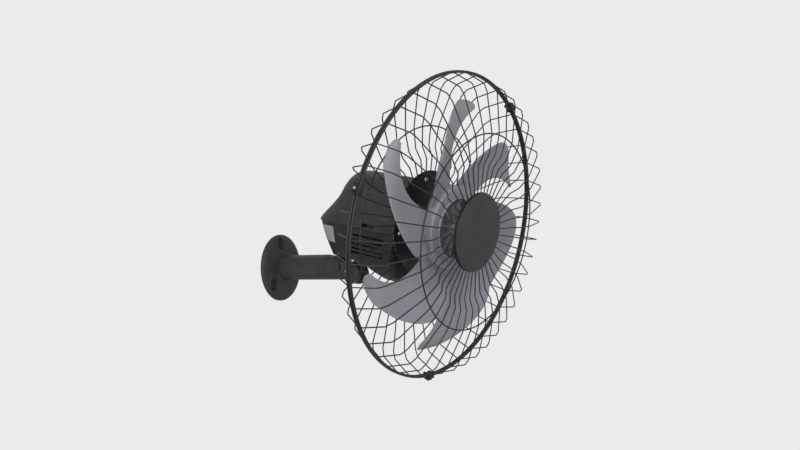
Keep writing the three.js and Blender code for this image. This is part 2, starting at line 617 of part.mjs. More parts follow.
// One guard. Heights run away from the rim plane; the plate is its centre disc.
function guard(side, recess, middle, corner, plateInner, plateOuter) {
  const at = (r, h) => new THREE.Vector3(r, side * h, 0);
  const rim = RIM_WIRE_R + GAP;
  const [midR, midH] = middle;
  const inner = plateOuter - 6;
  const corners = [at(inner, recess), at(RECESS_R, recess), at(STEP_R, midH), at(midR, midH),
    at(corner[0] - 14, corner[1] + 5.5), at(corner[0], corner[1] - 3), at(RIM_R - 1, rim)];
  const wires = [];
  const wire = wireAlong(corners, WIRE_R);
  for (let i = 0; i < WIRE_COUNT; i += 1) {
    wires.push(wire.rotate([0, -WIRE_PHASE - (360 * i) / WIRE_COUNT, 0]));
  }
  const hoop = (r, h, wireR, sides) => revolve(circle(wireR, sides, r, side * h), WIRE_COUNT);
  const disc = ring(plateInner, plateOuter, side * recess - DISC_HALF, side * recess + DISC_HALF,
    WIRE_COUNT);
  const hoops = [hoop(RIM_R, rim, RIM_WIRE_R, 6), hoop(midR, midH - WIRE_R - 0.6, RING_WIRE_R, 4)];
  return union(wires, hoops, disc);
}

// A wire of three-sided section with mitred bends, in the plane of X and Y.
function wireAlong(corners, r) {
  const rings = corners.map((p, i) => {
    const before = i > 0 ? p.clone().sub(corners[i - 1]).normalize() : null;
    const after = i + 1 < corners.length ? corners[i + 1].clone().sub(p).normalize() : null;
    const along = (before ?? after).clone().add(after ?? before).normalize();
    const cosHalf = along.dot(after ?? before);
    const normal = new THREE.Vector3(-along.y, along.x, 0).multiplyScalar(r / cosHalf);
    const foot = p.clone().addScaledVector(normal, -0.5);
    return [p.clone().add(normal), foot.clone().setZ(0.87 * r), foot.clone().setZ(-0.87 * r)]
      .map((q) => q.toArray());
  });
  return loft(rings);
}

function clip(onWire) {
  const w = 9;
  const block = box(-w, w, -8.5, 8.5, -6.5, 5.5);
  const tooth = box(-w * 0.6, w * 0.6, -6, 6, 5, 9.5);
  const rims = [-1, 1].map((s) => bar(RIM_WIRE_R + GAP, -20, 20).rotate(X_AXIS)
    .translate([0, s * (RIM_WIRE_R + GAP), 0]));
  const slot = box(-20, 20, -RIM_WIRE_R * 2 - GAP * 2, RIM_WIRE_R * 2 + GAP * 2, -20, 0);
  const bore = bar(1.9, -20, 20).rotate(Z_AXIS);
  const body = union(block, tooth).subtract(union(rims, slot, bore));
  const notch = WIRE_R + GAP;
  return onWire ? body.subtract(box(-notch, notch, -20, 20, -20, 2)) : body;
}

add(fan, 'mount_plate', mountPlate(), 0x2a2a2c, 0.5);
const rearGuard = guard(1, REAR_RECESS, REAR_RING, REAR_CORNER, 30, PLATE_R + 4);
const frontGuard = guard(-1, FRONT_RECESS, FRONT_RING, FRONT_CORNER, 20, CAP_R + 4);
add(fan, 'rear_guard', rearGuard.subtract(screwHoles), GREY.wire, 0.4, 0.6);
add(fan, 'front_guard', frontGuard, GREY.wire, 0.4, 0.6);
PLATE_SCREW_ANGLES.forEach((angle, i) => {
  const [x, z] = polar(PLATE_SCREW_PCR, angle);
  steel(fan, `plate_screw_${i + 1}`, screw(4.6, 3, 2, 9)
    .translate([x, REAR_RECESS - DISC_HALF - GAP, z]));
});
CLIP_AT.forEach((step, i) => {
  const angle = WIRE_PHASE + (360 * step) / WIRE_COUNT;
  const holder = new THREE.Group();
  holder.rotation.y = rad(90 - angle);
  fan.add(holder);
  add(holder, `guard_clip_${i + 1}`, clip(Number.isInteger(step)).translate([0, 0, RIM_R]),
    0x232325, 0.55);
  steel(holder, `clip_screw_${i + 1}`, screw(3, 2, 1.6, 5).rotate([-90, 0, 0])
    .translate([0, 0, RIM_R + 9.5 + GAP]));
});

function frontCap() {
  const back = FRONT_RECESS + DISC_HALF + GAP;
  const dome = Array.from({ length: 7 }, (_, i) => {
    const r = (CAP_R - 2) * (1 - i / 6);
    return [r, -(CAP_FACE + 1 + CAP_DOME * (1 - (r / CAP_R) ** 2))];
  });
  return revolve([[0, -back], [CAP_R, -back], [CAP_R, -CAP_FACE], ...dome]);
}
add(fan, 'front_cap', frontCap(), 0x474746, 0.65);

// ---- impeller --------------------------------------------------------------------------------------
// Edge angles and heights of a blade at a radius: the leading edge is the low, rear one.
function bladeEdges(r) {
  const u = Math.max(0, (r - HUB_R - 9) / (TIP_R - HUB_R - 8));
  const lead = 23.3 - 24 * ((r - 115) / 136) ** 2;
  const trail = 76 - 36 * u - 34 * u ** 5;
  const crest = (HUB_R + TIP_R) / 2 + 10.5;
  const drop = r > crest ? 54 * ((r - crest) / (TIP_R - crest)) ** 2
    : 36 * ((crest - r) / (crest - HUB_R)) ** 1.4;
  const trailHeight = 42 - drop;
  return { lead, trail, leadHeight: -4, trailHeight };
}

function blade() {
  const radii = Array.from({ length: 9 }, (_, i) => HUB_R - 1.5 + ((TIP_R - HUB_R + 1.5) * i) / 8);
  const across = 6;
  const rings = radii.map((r) => {
    const e = bladeEdges(r);
    const side = (offset, backwards) => Array.from({ length: across + 1 }, (_, k) => {
      const t = backwards ? 1 - k / across : k / across;
      const edge = Math.min(1, 5 * Math.min(t, 1 - t) + 0.35);
      const h = e.leadHeight + (e.trailHeight - e.leadHeight) * t - 24 * t * (1 - t) * 0.8;
      const [x, z] = polar(r, BLADE_ANGLE + e.lead + (e.trail - e.lead) * t);
      return [x, -(h + offset * edge * BLADE_T * 0.5), z];
    });
    return [...side(1, false), ...side(-1, true)];
  });
  return loftGrid(rings);
}

// A loft whose two ends are zipped across, for thin bent sections.
function loftGrid(rings) {
  const n = rings[0].length;
  const half = n / 2;
  const index = [];
  for (let k = 0; k + 1 < rings.length; k += 1) {
    for (let i = 0; i < n; i += 1) {
      const [a, b] = [k * n + i, k * n + ((i + 1) % n)];
      index.push(a, b, b + n, a, b + n, a + n);
    }
  }
  const zip = (base, turn) => {
    for (let i = 0; i + 1 < half; i += 1) {
      const [a, b, c, d] = [base + i, base + i + 1, base + n - 2 - i, base + n - 1 - i];
      if (turn) index.push(a, b, c, a, c, d);
      else index.push(a, c, b, a, d, c);
    }
  };
  zip(0, false);
  zip((rings.length - 1) * n, true);
  const geometry = new THREE.BufferGeometry();
  geometry.setAttribute('position', new THREE.Float32BufferAttribute(rings.flat(2), 3));
  geometry.setIndex(index);
  return solid(geometry);
}

function impeller() {
  const web = 4;
  const inner = HUB_R - HUB_WALL;
  const bossR = 16;
  const hub = revolve([
    [SHAFT_R + GAP, 22], [bossR, 22], [bossR, web - HUB_WEB], [inner, web - HUB_WEB],
    [inner, HUB_BACK], [HUB_R - 1, HUB_BACK],
    [HUB_R, HUB_BACK - 1.5], [HUB_R, -HUB_FRONT + 4], [HUB_R + 1.5, -HUB_FRONT + 3],
    [HUB_R + 1.5, -HUB_FRONT], [inner - 1, -HUB_FRONT], [inner - 1, -HUB_WEB], [bossR, -HUB_WEB],
    [bossR, -HUB_SEAT], [SHAFT_R + GAP, -HUB_SEAT],
  ], 34);
  const ribs = Array.from({ length: 12 }, (_, i) =>
    box(bossR - 1, inner, -HUB_SEAT - 2, 1 - HUB_WEB, -1.25, 1.25).rotate([0, 30 * i, 0]));
  const one = blade();
  const blades = Array.from({ length: BLADE_COUNT }, (_, i) => one.rotate([0, -(360 / BLADE_COUNT) * i, 0]));
  return union(hub, ribs, blades);
}

function impellerNut() {
  const seat = -HUB_SEAT - GAP;
  const grip = revolve([
    [SHAFT_R + GAP, seat], [13, seat], [15, -30], [15, -41], [12, -45], [SHAFT_R + GAP, -45],
  ], SMALL_SIDES);
  const flutes = Array.from({ length: 8 }, (_, i) => bar(2.2, -60, -20, 8).translate([16, 0, 0])
    .rotate([0, 45 * i, 0]));
  return grip.subtract(union(flutes));
}

add(fan, 'impeller', impeller(), GREY.impeller, 0.4);
add(fan, 'impeller_nut', impellerNut(), 0x2a2a2c, 0.5);

export default root;
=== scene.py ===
"""Oscillating wall fan with a wire guard, dressed over its packed frame, in metres.

Every sub-part is modelled in the frame of the part that carries it: the wall
frame for flange and arm, the neck frame for the tilting block, and the head
frame for all that swings. The head frame's origin is the centre of the guard's
rim, +Y runs back along the shaft, and angles run from +X towards +Z. A profile
is a list of (radius, y) points that is turned about Y.
"""

import json
import math

import bmesh
import bpy
from bpy.props import FloatProperty, FloatVectorProperty, IntProperty, PointerProperty
from bpy.types import NodeSocket, Operator, Panel, PropertyGroup
from mathutils import Matrix, Vector


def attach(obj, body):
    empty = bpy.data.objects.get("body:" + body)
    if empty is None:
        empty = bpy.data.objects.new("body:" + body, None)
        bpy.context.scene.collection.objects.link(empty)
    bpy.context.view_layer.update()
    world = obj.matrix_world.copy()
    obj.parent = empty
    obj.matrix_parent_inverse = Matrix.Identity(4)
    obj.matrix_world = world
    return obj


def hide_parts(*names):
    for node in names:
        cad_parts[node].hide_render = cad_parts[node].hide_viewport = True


bl_info = {
    "name": "Oscillating Wall Fan",
    "version": (1, 0, 0),
    "blender": (4, 5, 0),
    "location": "3D View > Sidebar > Wall Fan",
    "description": "Dresses an oscillating wall fan over its packed frame",
    "category": "Add Mesh",
}

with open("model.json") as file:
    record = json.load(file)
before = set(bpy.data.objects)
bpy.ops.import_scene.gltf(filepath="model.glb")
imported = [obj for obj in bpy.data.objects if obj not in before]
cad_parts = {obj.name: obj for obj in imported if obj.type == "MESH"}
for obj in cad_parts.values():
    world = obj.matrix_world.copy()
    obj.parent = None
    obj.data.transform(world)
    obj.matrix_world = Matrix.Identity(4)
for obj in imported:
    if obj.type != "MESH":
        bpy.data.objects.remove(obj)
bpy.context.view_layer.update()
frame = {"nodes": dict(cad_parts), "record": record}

FULL_TURN = 2 * math.pi
QUARTER_TURN = math.pi / 2
IDENTITY = Matrix()
TINY = 1e-6  # lengths under this count as nothing
WELD = 1e-7  # points closer than this are one
SHARP_ANGLE = math.radians(32)  # edges over this are shaded sharp
BEVEL_ANGLE = math.radians(35)  # edges over this are softened
FLAT_ANGLE = math.radians(1)  # faces that meet at less than this are joined
STRAIGHT = math.radians(89)  # a corner whose half angle is over this isn't rounded
LEG_SHARE = 0.45  # the most of a leg that a rounded corner takes


# ---- settings ----


def length(name, description, value):
    """A bpy property for a length in metres."""
    return FloatProperty(
        name=name, description=description, default=value, unit="LENGTH", precision=4
    )


def turn(name, description, degrees):
    """A bpy property for an angle, given in degrees."""
    value = math.radians(degrees)
    return FloatProperty(name=name, description=description, default=value, unit="ROTATION")


def colour(name, description, value):
    """A bpy property for a linear colour."""
    return FloatVectorProperty(
        name=name, description=description, default=value, subtype="COLOR", min=0, max=1
    )


def place(name, description, value):
    """A bpy property for a point in metres."""
    return FloatVectorProperty(
        name=name, description=description, default=value, subtype="XYZ", unit="LENGTH"
    )


class FanAim(PropertyGroup):
    """Where the head hangs on the arm."""

    tilt: turn("Tilt", "Nose-down angle of the head at rest", 12.2)
    yaw: turn("Yaw", "Swivel of the head at rest", -9.5)
    pivot_out: length("Pivot Out", "Wall face to tilt pivot", 0.190)
    pivot_drop: length("Pivot Drop", "Tilt pivot below the arm's axis", 0.007)
    axis_rise: length("Axis Rise", "Tilt pivot to fan axis", 0.130)
    rim_ahead: length("Rim Ahead", "Swivel axis to the guard's rim plane", 0.215)


class FanGuard(PropertyGroup):
    """Sizes of the two wire guards."""

    rim_radius: length("Rim Radius", "Radius of the guard's rims", 0.300)
    rim_wire: length("Rim Wire", "Radius of the rim's wire", 0.0026)
    wire: length("Wire", "Radius of the radial wires", 0.0012)
    ring_wire: length("Ring Wire", "Radius of the middle ring's wire", 0.0014)
    wire_count: IntProperty(
        name="Wire Count", description="Radial wires of each guard", default=44, min=8
    )
    wire_phase: turn("Wire Phase", "Angle of the first wire", 1.2)
    bend: length("Bend", "Radius of the bends in the wires", 0.005)


class FanImpeller(PropertyGroup):
    """Sizes of the impeller and of the cap in front of it."""

    tip_radius: length("Tip Radius", "Radius of the blade tips", 0.250)
    hub_radius: length("Hub Radius", "Outer radius of the hub", 0.083)
    hub_front: length("Hub Front", "Rim plane to the hub's outer edge", 0.0155)
    lip_front: length("Lip Front", "Rim plane to the front of the hub's lip", 0.0185)
    lip_radius: length("Lip Radius", "Radius of the hub's lip", 0.0585)
    hub_web: length("Hub Web", "Rim plane to the front of the hub's web", 0.004)
    blade_count: IntProperty(
        name="Blade Count", description="Blades of the impeller", default=6, min=2
    )
    blade_angle: turn("Blade Angle", "Turn of the first blade's root", 22)
    thickness: length("Thickness", "Thickness of a blade", 0.0028)
    tip_round: length("Tip Round", "Rounding of a blade's tip corners", 0.0085)
    cap_radius: length("Cap Radius", "Radius of the front cap", 0.0762)


class FanCasing(PropertyGroup):
    """Sizes of the motor casing."""

    wall: length("Wall", "Thickness of the casing's walls", 0.0025)
    front: length("Front", "Casing's front face behind the rim plane", 0.0652)
    plate_radius: length("Plate Radius", "Radius of the round mounting plate", 0.100)
    label_middle: length("Label Middle", "Height of the blank label's middle", -0.061)
    label_height: length("Label Height", "Height of the blank label", 0.031)
    label_turn: turn("Label Turn", "Where the blank label sits round the tail", 142)
    label_span: turn("Label Span", "Turn that the blank label covers", 37)


class FanArm(PropertyGroup):
    """Sizes of the wall flange and arm."""

    flange_radius: length("Flange Radius", "Radius of the wall flange", 0.073)
    arm_radius: length("Arm Radius", "Outer radius of the arm tube", 0.027)
    arm_start: length("Arm Start", "Wall face to the near end of the tube", 0.0157)
    arm_end: length("Arm End", "Wall face to the far end of the tube", 0.130)
    hole_circle: length("Hole Circle", "Radius of the screw hole circle", 0.054)


class FanColours(PropertyGroup):
    """Colours of the fan's finishes."""

    paint: colour("Arm Paint", "Satin paint of arm and flange", (0.055, 0.055, 0.057))
    hood: colour("Hood", "Moulded hood", (0.052, 0.052, 0.053))
    housing: colour("Lower Housing", "Grained lower housing", (0.026, 0.026, 0.027))
    plate: colour("Mounting Plate", "Paint of plate and neck", (0.062, 0.062, 0.064))
    wire: colour("Guard Wire", "Powder coat of the guards", (0.016, 0.016, 0.018))
    impeller: colour("Impeller", "Moulded impeller", (0.330, 0.319, 0.366))
    cap: colour("Front Cap", "Grained front cap", (0.042, 0.042, 0.040))
    black: colour("Black Nylon", "Clips, gland and nut", (0.016, 0.016, 0.018))
    backdrop: colour("Backdrop", "Floor and surrounding light", (0.83, 0.83, 0.83))


class FanStage(PropertyGroup):
    """Camera and floor."""

    camera_place: place(
        "Camera Place", "Camera position at the photo's angle", (-1.5382, -1.0714, -0.0390)
    )
    camera_target: place(
        "Camera Target", "Point the camera looks at", (-0.0794, -0.3379, 0.0787)
    )
    lens: FloatProperty(
        name="Lens",
        description="Focal length on a 36 mm sensor",
        default=37.57,
        unit="CAMERA",
    )
    floor_height: length("Floor Height", "Height of the floor", -0.46)
    floor_glow: FloatProperty(
        name="Floor Glow", description="Strength of the floor's own glow", default=0.985
    )
    surround: FloatProperty(
        name="Surround", description="Strength of the room's light", default=0.50
    )


SETTINGS = {
    "wallfan_aim": FanAim,
    "wallfan_guard": FanGuard,
    "wallfan_impeller": FanImpeller,
    "wallfan_casing": FanCasing,
    "wallfan_arm": FanArm,
    "wallfan_colours": FanColours,
    "wallfan_stage": FanStage,
}


def setting(group):
    """The scene's property group of that short name, such as guard."""
    return getattr(bpy.context.scene, "wallfan_" + group)


# ---- frames of the parts that carry others ----


def neck_frame():
    """The tilting block: origin on the tilt pivot, +Z along the swivel post."""
    aim = setting("aim")
    pivot = Matrix.Translation((0, -aim.pivot_out, -aim.pivot_drop))
    return pivot @ Matrix.Rotation(aim.tilt, 4, "X")


def head_frame():
    """The head: origin at the rim's centre, +Y back along the shaft."""
    aim = setting("aim")
    swing = neck_frame() @ Matrix.Rotation(aim.yaw, 4, "Z")
    return swing @ Matrix.Translation((0, -aim.rim_ahead, aim.axis_rise))


FRAMES = {"base": Matrix, "neck": neck_frame, "head": head_frame, "rotor": head_frame}


def around_y(angle):
    """Turn about Y that takes +X towards +Z by the angle."""
    return Matrix.Rotation(-angle, 4, "Y")


def spot_at(radius, angle, y=0):
    """Shift to the point at that radius and angle about Y."""
    return Matrix.Translation((radius * math.cos(angle), y, radius * math.sin(angle)))


# ---- modelling helpers ----


def rounded_path(points, radius, steps=4):
    """The points of an open path with each inner corner rounded to the radius."""
    path = [Vector(points[0])]
    for before, corner, after in zip(points, points[1:], points[2:]):
        before, corner, after = Vector(before), Vector(corner), Vector(after)
        to_before = (before - corner).normalized()
        to_after = (after - corner).normalized()
        half = to_before.angle(to_after) / 2
        reach = radius / math.tan(half) if half < STRAIGHT else 0
        shorter_leg = min((before - corner).length, (after - corner).length)
        reach = min(reach, shorter_leg * LEG_SHARE)
        if reach < TINY:
            path.append(corner)
            continue
        start, end = corner + to_before * reach, corner + to_after * reach
        for step in range(steps + 1):
            t = step / steps
            path.append(start * (1 - t) ** 2 + corner * 2 * t * (1 - t) + end * t * t)
    path.append(Vector(points[-1]))
    return path


def rounded_profile(points, radius, steps=2):
    """A closed profile with its corners off the axis rounded."""
    n = len(points)
    out = []
    for i in range(n):
        before, corner, after = points[i - 1], points[i], points[(i + 1) % n]
        if corner[0] < TINY:
            out.append(corner)
            continue
        bend = rounded_path([(*before, 0), (*corner, 0), (*after, 0)], radius, steps)
        out.extend((p.x, p.y) for p in bend[1:-1])
    return out


def sweep(bm, path, radius, sides):
    """A round wire along a path that lies in the plane of X and Y."""
    side = Vector((0, 0, 1))
    stations = []
    for i, point in enumerate(path):
        ahead = path[min(i + 1, len(path) - 1)] - point
        behind = point - path[max(i - 1, 0)]
        along = (ahead.normalized() + behind.normalized()).normalized()
        rows = Matrix((side, along.cross(side), along)).transposed().to_4x4()
        stations.append(Matrix.Translation(point) @ rows)
    ring = bmesh.ops.create_circle(
        bm, cap_ends=True, segments=sides, radius=radius, matrix=stations[0]
    )["verts"]
    edges = list({e for v in ring for e in v.link_edges})
    for previous, station in zip(stations, stations[1:]):
        made = bmesh.ops.extrude_edge_only(bm, edges=edges)["geom"]
        ring = {g for g in made if isinstance(g, bmesh.types.BMVert)}
        made_edges = [g for g in made if isinstance(g, bmesh.types.BMEdge)]
        edges = [edge for edge in made_edges if set(edge.verts) <= ring]
        bmesh.ops.transform(bm, matrix=station @ previous.inverted(), verts=list(ring))
    bmesh.ops.edgeloop_fill(bm, edges=edges)


def spin(bm, geom, angle, steps, **how):
    """Spins the geometry about Y."""
    axis = {"cent": (0, 0, 0), "axis": (0, 1, 0), "dvec": (0, 0, 0)}
    bmesh.ops.spin(bm, geom=geom, angle=angle, steps=steps, **axis, **how)


def copies_around(bm, count):
    """Repeats all that the mesh holds evenly about Y."""
    geom = bm.verts[:] + bm.edges[:] + bm.faces[:]
    spin(bm, geom, FULL_TURN * (count - 1) / count, count - 1, use_duplicate=True)


def spin_profile(bm, points, steps, closed=True):
    """Turns a profile about Y."""
    verts = [bm.verts.new((r, y, 0)) for r, y in points]
    pairs = list(zip(verts, verts[1:]))
    if closed:
        pairs.append((verts[-1], verts[0]))
    edges = [bm.edges.new(pair) for pair in pairs]
    spin(bm, verts + edges, FULL_TURN, steps, use_merge=True)


def hoop(bm, ring_radius, height, wire_radius, steps, sides):
    """A ring of round wire about Y."""
    points = []
    for i in range(sides):
        a = FULL_TURN * i / sides
        radius = ring_radius + wire_radius * math.cos(a)
        points.append((radius, height + wire_radius * math.sin(a)))
    spin_profile(bm, points, steps)


def block(bm, low, high, matrix=IDENTITY):
    """A box between two corners."""
    low, high = Vector(low), Vector(high)
    size = Matrix.Diagonal((*(high - low), 1))
    middle = Matrix.Translation((low + high) / 2)
    bmesh.ops.create_cube(bm, size=1, matrix=matrix @ (middle @ size))


def rod(bm, radius, y0, y1, segments, matrix, end_radius=None):
    """A round bar along Y from y0 to y1; end_radius is its radius at y1."""
    middle = Matrix.Translation((0, (y0 + y1) / 2, 0))
    bmesh.ops.create_cone(
        bm,
        cap_ends=True,
        segments=segments,
        radius1=radius,
        radius2=radius if end_radius is None else end_radius,
        depth=y1 - y0,
        matrix=matrix @ (middle @ Matrix.Rotation(-QUARTER_TURN, 4, "X")),
    )


def soften(bm, width, segments=2, angle=BEVEL_ANGLE, beyond=None):
    """Bevels every edge over the angle, or only those below a height in Y."""
    edges = [e for e in bm.edges if e.is_manifold and e.calc_face_angle(0) > angle]
    if beyond is not None:
        edges = [e for e in edges if max(v.co.y for v in e.verts) < beyond]
    bmesh.ops.bevel(
        bm,
        geom=edges,
        offset=width,
        offset_type="OFFSET",
        segments=segments,
        profile=0.5,
        affect="EDGES",
        clamp_overlap=True,
        material=-1,
    )


def make_object(bm, name, matrix):
    """The bmesh as an object at the origin, its place in its mesh."""
    bmesh.ops.remove_doubles(bm, verts=bm.verts, dist=WELD)
    bmesh.ops.recalc_face_normals(bm, faces=bm.faces)
    bmesh.ops.transform(bm, matrix=matrix, verts=bm.verts)
    mesh = bpy.data.meshes.new(name)
    bm.to_mesh(mesh)
    bm.free()
    piece = bpy.data.objects.new(name, mesh)
    bpy.context.scene.collection.objects.link(piece)
    return piece


def carve(piece, cutters, thickness=0):
    """Gives the piece a wall, takes each cutter out of it, and drops the cutters."""
    if thickness:
        wall = piece.modifiers.new("Wall", "SOLIDIFY")
        wall.thickness = thickness
        wall.offset = -1
        wall.use_even_offset = True
    for tool in cutters:
        cut = piece.modifiers.new("Cut", "BOOLEAN")
        cut.operation = "DIFFERENCE"
        cut.solver = "EXACT"
        cut.object = tool
    graph = bpy.context.evaluated_depsgraph_get()
    carved = bpy.data.meshes.new_from_object(piece.evaluated_get(graph))
    carved.name = piece.name
    piece.modifiers.clear()
    piece.data = carved
    for tool in cutters:
        bpy.data.objects.remove(tool)


def dress(piece, body, slot, *nodes, look=None):
    """Shades the piece, gives it the look or else the slot's finish, parents it to its body
    and hides its CAD nodes.
    """
    piece.data.materials.clear()
    piece.data.materials.append(finish(look or slot))
    for polygon in piece.data.polygons:
        polygon.use_smooth = True
        polygon.material_index = 0
    piece.data.set_sharp_from_angle(angle=SHARP_ANGLE)
    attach(piece, body)
    if nodes:
        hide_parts(*nodes)


def make_piece(bm, name, body, slot, *nodes, look=None):
    """The bmesh, modelled in its body's frame, as a dressed piece."""
    dress(make_object(bm, name, FRAMES[body]()), body, slot, *nodes, look=look)


def refined_copy(node, name, width, beyond=None):
    """A CAD node's shape with its flat faces joined and its edges softened."""
    bm = bmesh.new()
    bm.from_mesh(frame["nodes"][node].data)
    bmesh.ops.remove_doubles(bm, verts=bm.verts, dist=TINY)
    bmesh.ops.dissolve_limit(
        bm,
        angle_limit=FLAT_ANGLE,
        use_dissolve_boundaries=False,
        verts=bm.verts,
        edges=bm.edges,
    )
    soften(bm, width, beyond=beyond)
    return make_object(bm, name, IDENTITY)


# ---- finishes ----


class Finish:
    """A procedural material built up in steps on one shader."""

    def __init__(self, name, base, roughness, mottle, smears, reliefs, inputs):
        self.material = bpy.data.materials.new(name)
        self.material.use_nodes = True
        self.tree = self.material.node_tree
        self.shader = self.tree.nodes["Principled BSDF"]
        self.coords = self.node("TexCoord").outputs["Object"]
        self.normal = None
        self.put(self.shader, "Roughness", roughness)
        self.mottle(base, *mottle)
        if smears:
            self.smears(roughness, *smears)
        for relief in reliefs:
            self.relief(*relief)
        for socket, value in inputs.items():
            self.put(self.shader, socket, value)

    def put(self, node, socket, value):
        """Sets a node's input to a number or a colour, or links it to an output."""
        if isinstance(value, NodeSocket):
            self.tree.links.new(value, node.inputs[socket])
        else:
            node.inputs[socket].default_value = value

    def node(self, kind, **inputs):
        """A new node with its inputs put in; an underscore stands for a space."""
        made = self.tree.nodes.new("ShaderNode" + kind)
        for name, value in inputs.items():
            self.put(made, name.replace("_", " "), value)
        return made

    def pattern(self, scale, detail=None, stretch=(1, 1, 1)):
        """The output of a noise pattern, or of a cell pattern if it has no detail."""
        vector = self.node("Mapping", Vector=self.coords, Scale=stretch).outputs["Vector"]
        if detail is None:
            return self.node("TexVoronoi", Vector=vector, Scale=scale).outputs["Distance"]
        noise = self.node("TexNoise", Vector=vector, Scale=scale, Detail=detail)
        return noise.outputs["Fac"]

    def mottle(self, base, pattern, darker, lighter, low=0.35, high=0.65):
        """Colour that wanders between two multiples of the base colour."""
        ramp = self.node("ValToRGB", Fac=self.pattern(*pattern))
        stops = zip(ramp.color_ramp.elements, (low, high), (darker, lighter))
        for stop, position, factor in stops:
            stop.position = position
            stop.color = (*[min(1, channel * factor) for channel in base], 1)
        self.put(self.shader, "Base Color", ramp.outputs["Color"])

    def smears(self, roughness, pattern, spread):
        """Roughness that wanders about its base value."""
        span = self.node("MapRange", To_Min=roughness - spread, To_Max=roughness + spread)
        self.put(span, "Value", self.pattern(*pattern))
        self.put(self.shader, "Roughness", span.outputs["Result"])

    def relief(self, pattern, depth, strength=1.0):
        """Adds a bump of that depth in metres over any made before."""
        bump = self.node("Bump", Distance=depth, Strength=strength)
        self.put(bump, "Height", self.pattern(*pattern))
        if self.normal is not None:
            self.put(bump, "Normal", self.normal)
        self.normal = bump.outputs["Normal"]
        self.put(self.shader, "Normal", self.normal)


def metal(base, roughness, scale, depth):
    """The look of bare metal whose marks have that scale and depth."""
    mottle, smears = ((scale, 5), 0.82, 1.12), ((scale * 2.3, 5), 0.1)
    return base, roughness, mottle, smears, [((scale * 9, 3), depth)], {"Metallic": 1.0}


# Each look: a colour or the setting that holds it, the roughness, and the patterns of
# its mottle (with darker and lighter), its smears (with their spread) and its reliefs
# (with depth and strength). A pattern is the scale, detail and stretch of noise, or
# the scale of cells. The shader's other inputs come last.
LOOKS = {
    "arm_paint": (
        "paint", 0.5, ((38, 5), 0.86, 1.18), ((90, 6), 0.08), [((620, 2), 0.00006)],
        {"Specular IOR Level": 0.3},
    ),
    "plate_paint": (
        "plate", 0.36, ((44, 5), 0.85, 1.25), ((75, 5), 0.09), [((560, 2), 0.00006)], {},
    ),
    "hood_plastic": (
        "hood", 0.46, ((26, 6), 0.9, 1.12), ((70, 6), 0.07),
        [((1500,), 0.00003, 0.6), ((9, 3), 0.0004, 0.35)], {"Specular IOR Level": 0.25},
    ),
    "housing_plastic": (
        "housing", 0.5, ((30, 6), 0.8, 1.3), ((60, 6), 0.1), [((900,), 0.00006, 0.8)],
        {"Specular IOR Level": 0.35},
    ),
    "guard_wire": (
        "wire", 0.38, ((160, 4), 0.75, 1.35), ((220, 4), 0.1), [((900, 2), 0.00005)],
        {"Coat Weight": 0.15, "Coat Roughness": 0.25},
    ),
    "impeller_plastic": (
        "impeller", 0.36, ((14, 6), 0.93, 1.06), ((55, 5, (1, 3, 1)), 0.07),
        [((1200, 2), 0.00002, 0.6), ((12, 3), 0.0005, 0.25)],
        {"Sheen Weight": 0.04, "Coat Weight": 0.08, "Coat Roughness": 0.3},
    ),
    "cap_plastic": (
        "cap", 0.58, ((34, 6), 0.88, 1.14), ((48, 5), 0.07), [((1100,), 0.00005, 0.7)], {},
    ),
    "black_nylon": (
        "black", 0.46, ((80, 4), 0.75, 1.4), ((130, 4), 0.1), [((1000, 2), 0.00004)], {},
    ),
    "white_acetal": (
        (0.74, 0.71, 0.62), 0.35, ((70, 4), 0.9, 1.05), ((120, 4), 0.1),
        [((700, 2), 0.00003)], {"Subsurface Weight": 0.05},
    ),
    "blank_label": (
        (0.42, 0.42, 0.42), 0.5, ((210, 5), 0.86, 1.12), ((90, 4), 0.06),
        [((1300, 2), 0.00002)], {},
    ),
    "stator_steel": (
        (0.30, 0.13, 0.06), 0.4, ((500, 3, (1, 8, 1)), 0.6, 1.3, 0.3, 0.7), None,
        [((420, 2, (1, 8, 1)), 0.0003)], {"Metallic": 0.5},
    ),
    "capacitor_case": (
        (0.66, 0.66, 0.65), 0.3, ((60, 4), 0.93, 1.04), ((110, 4), 0.08),
        [((800, 2), 0.00002)], {},
    ),
    "pale_floor": (
        (0.02, 0.02, 0.02), 0.9, ((0.6, 3), 0.97, 1.0), None, [],
        {"Specular IOR Level": 0.0},
    ),
    "zinc_steel": metal((0.62, 0.62, 0.63), 0.28, 120, 0.00003),
    "linkage_steel": metal((0.48, 0.48, 0.50), 0.34, 90, 0.00004),
    "cast_alloy": metal((0.42, 0.43, 0.44), 0.48, 60, 0.00012),
    "rotor_iron": metal((0.20, 0.20, 0.21), 0.5, 80, 0.0001),
    "bearing_steel": metal((0.66, 0.66, 0.67), 0.2, 150, 0.00002),
}
LOOKS["neck_paint"] = LOOKS["plate_paint"]
FINISHES = {}


def finish(name):
    """The finish of that name, made on first use."""
    if name not in FINISHES:
        base, *look = LOOKS[name]
        if isinstance(base, str):
            base = getattr(setting("colours"), base)
        FINISHES[name] = Finish(name, base, *look)
    return FINISHES[name].material


# ---- screws ----

# Each screw: head radius and height, shank radius, length and sides.
CLIP_SCREW = (0.0030, 0.0021, 0.0016, 0.0050, 12)
PLATE_SCREW = (0.0046, 0.0030, 0.0020, 0.0090, 12)
STOP_SCREW = (0.0048, 0.0034, 0.0021, 0.0060, 16)
HEAD_SIDES, HEAD_TURN = 24, 0.4  # sides, and their turn in radians
# A head's outline from its seat to the middle of its recess, in shares of its size.
HEAD_OUTLINE = ((0, 0), (1, 0), (1, 0.35), (0.82, 0.78), (0.45, 1), (0.28, 1), (0, 0.55))


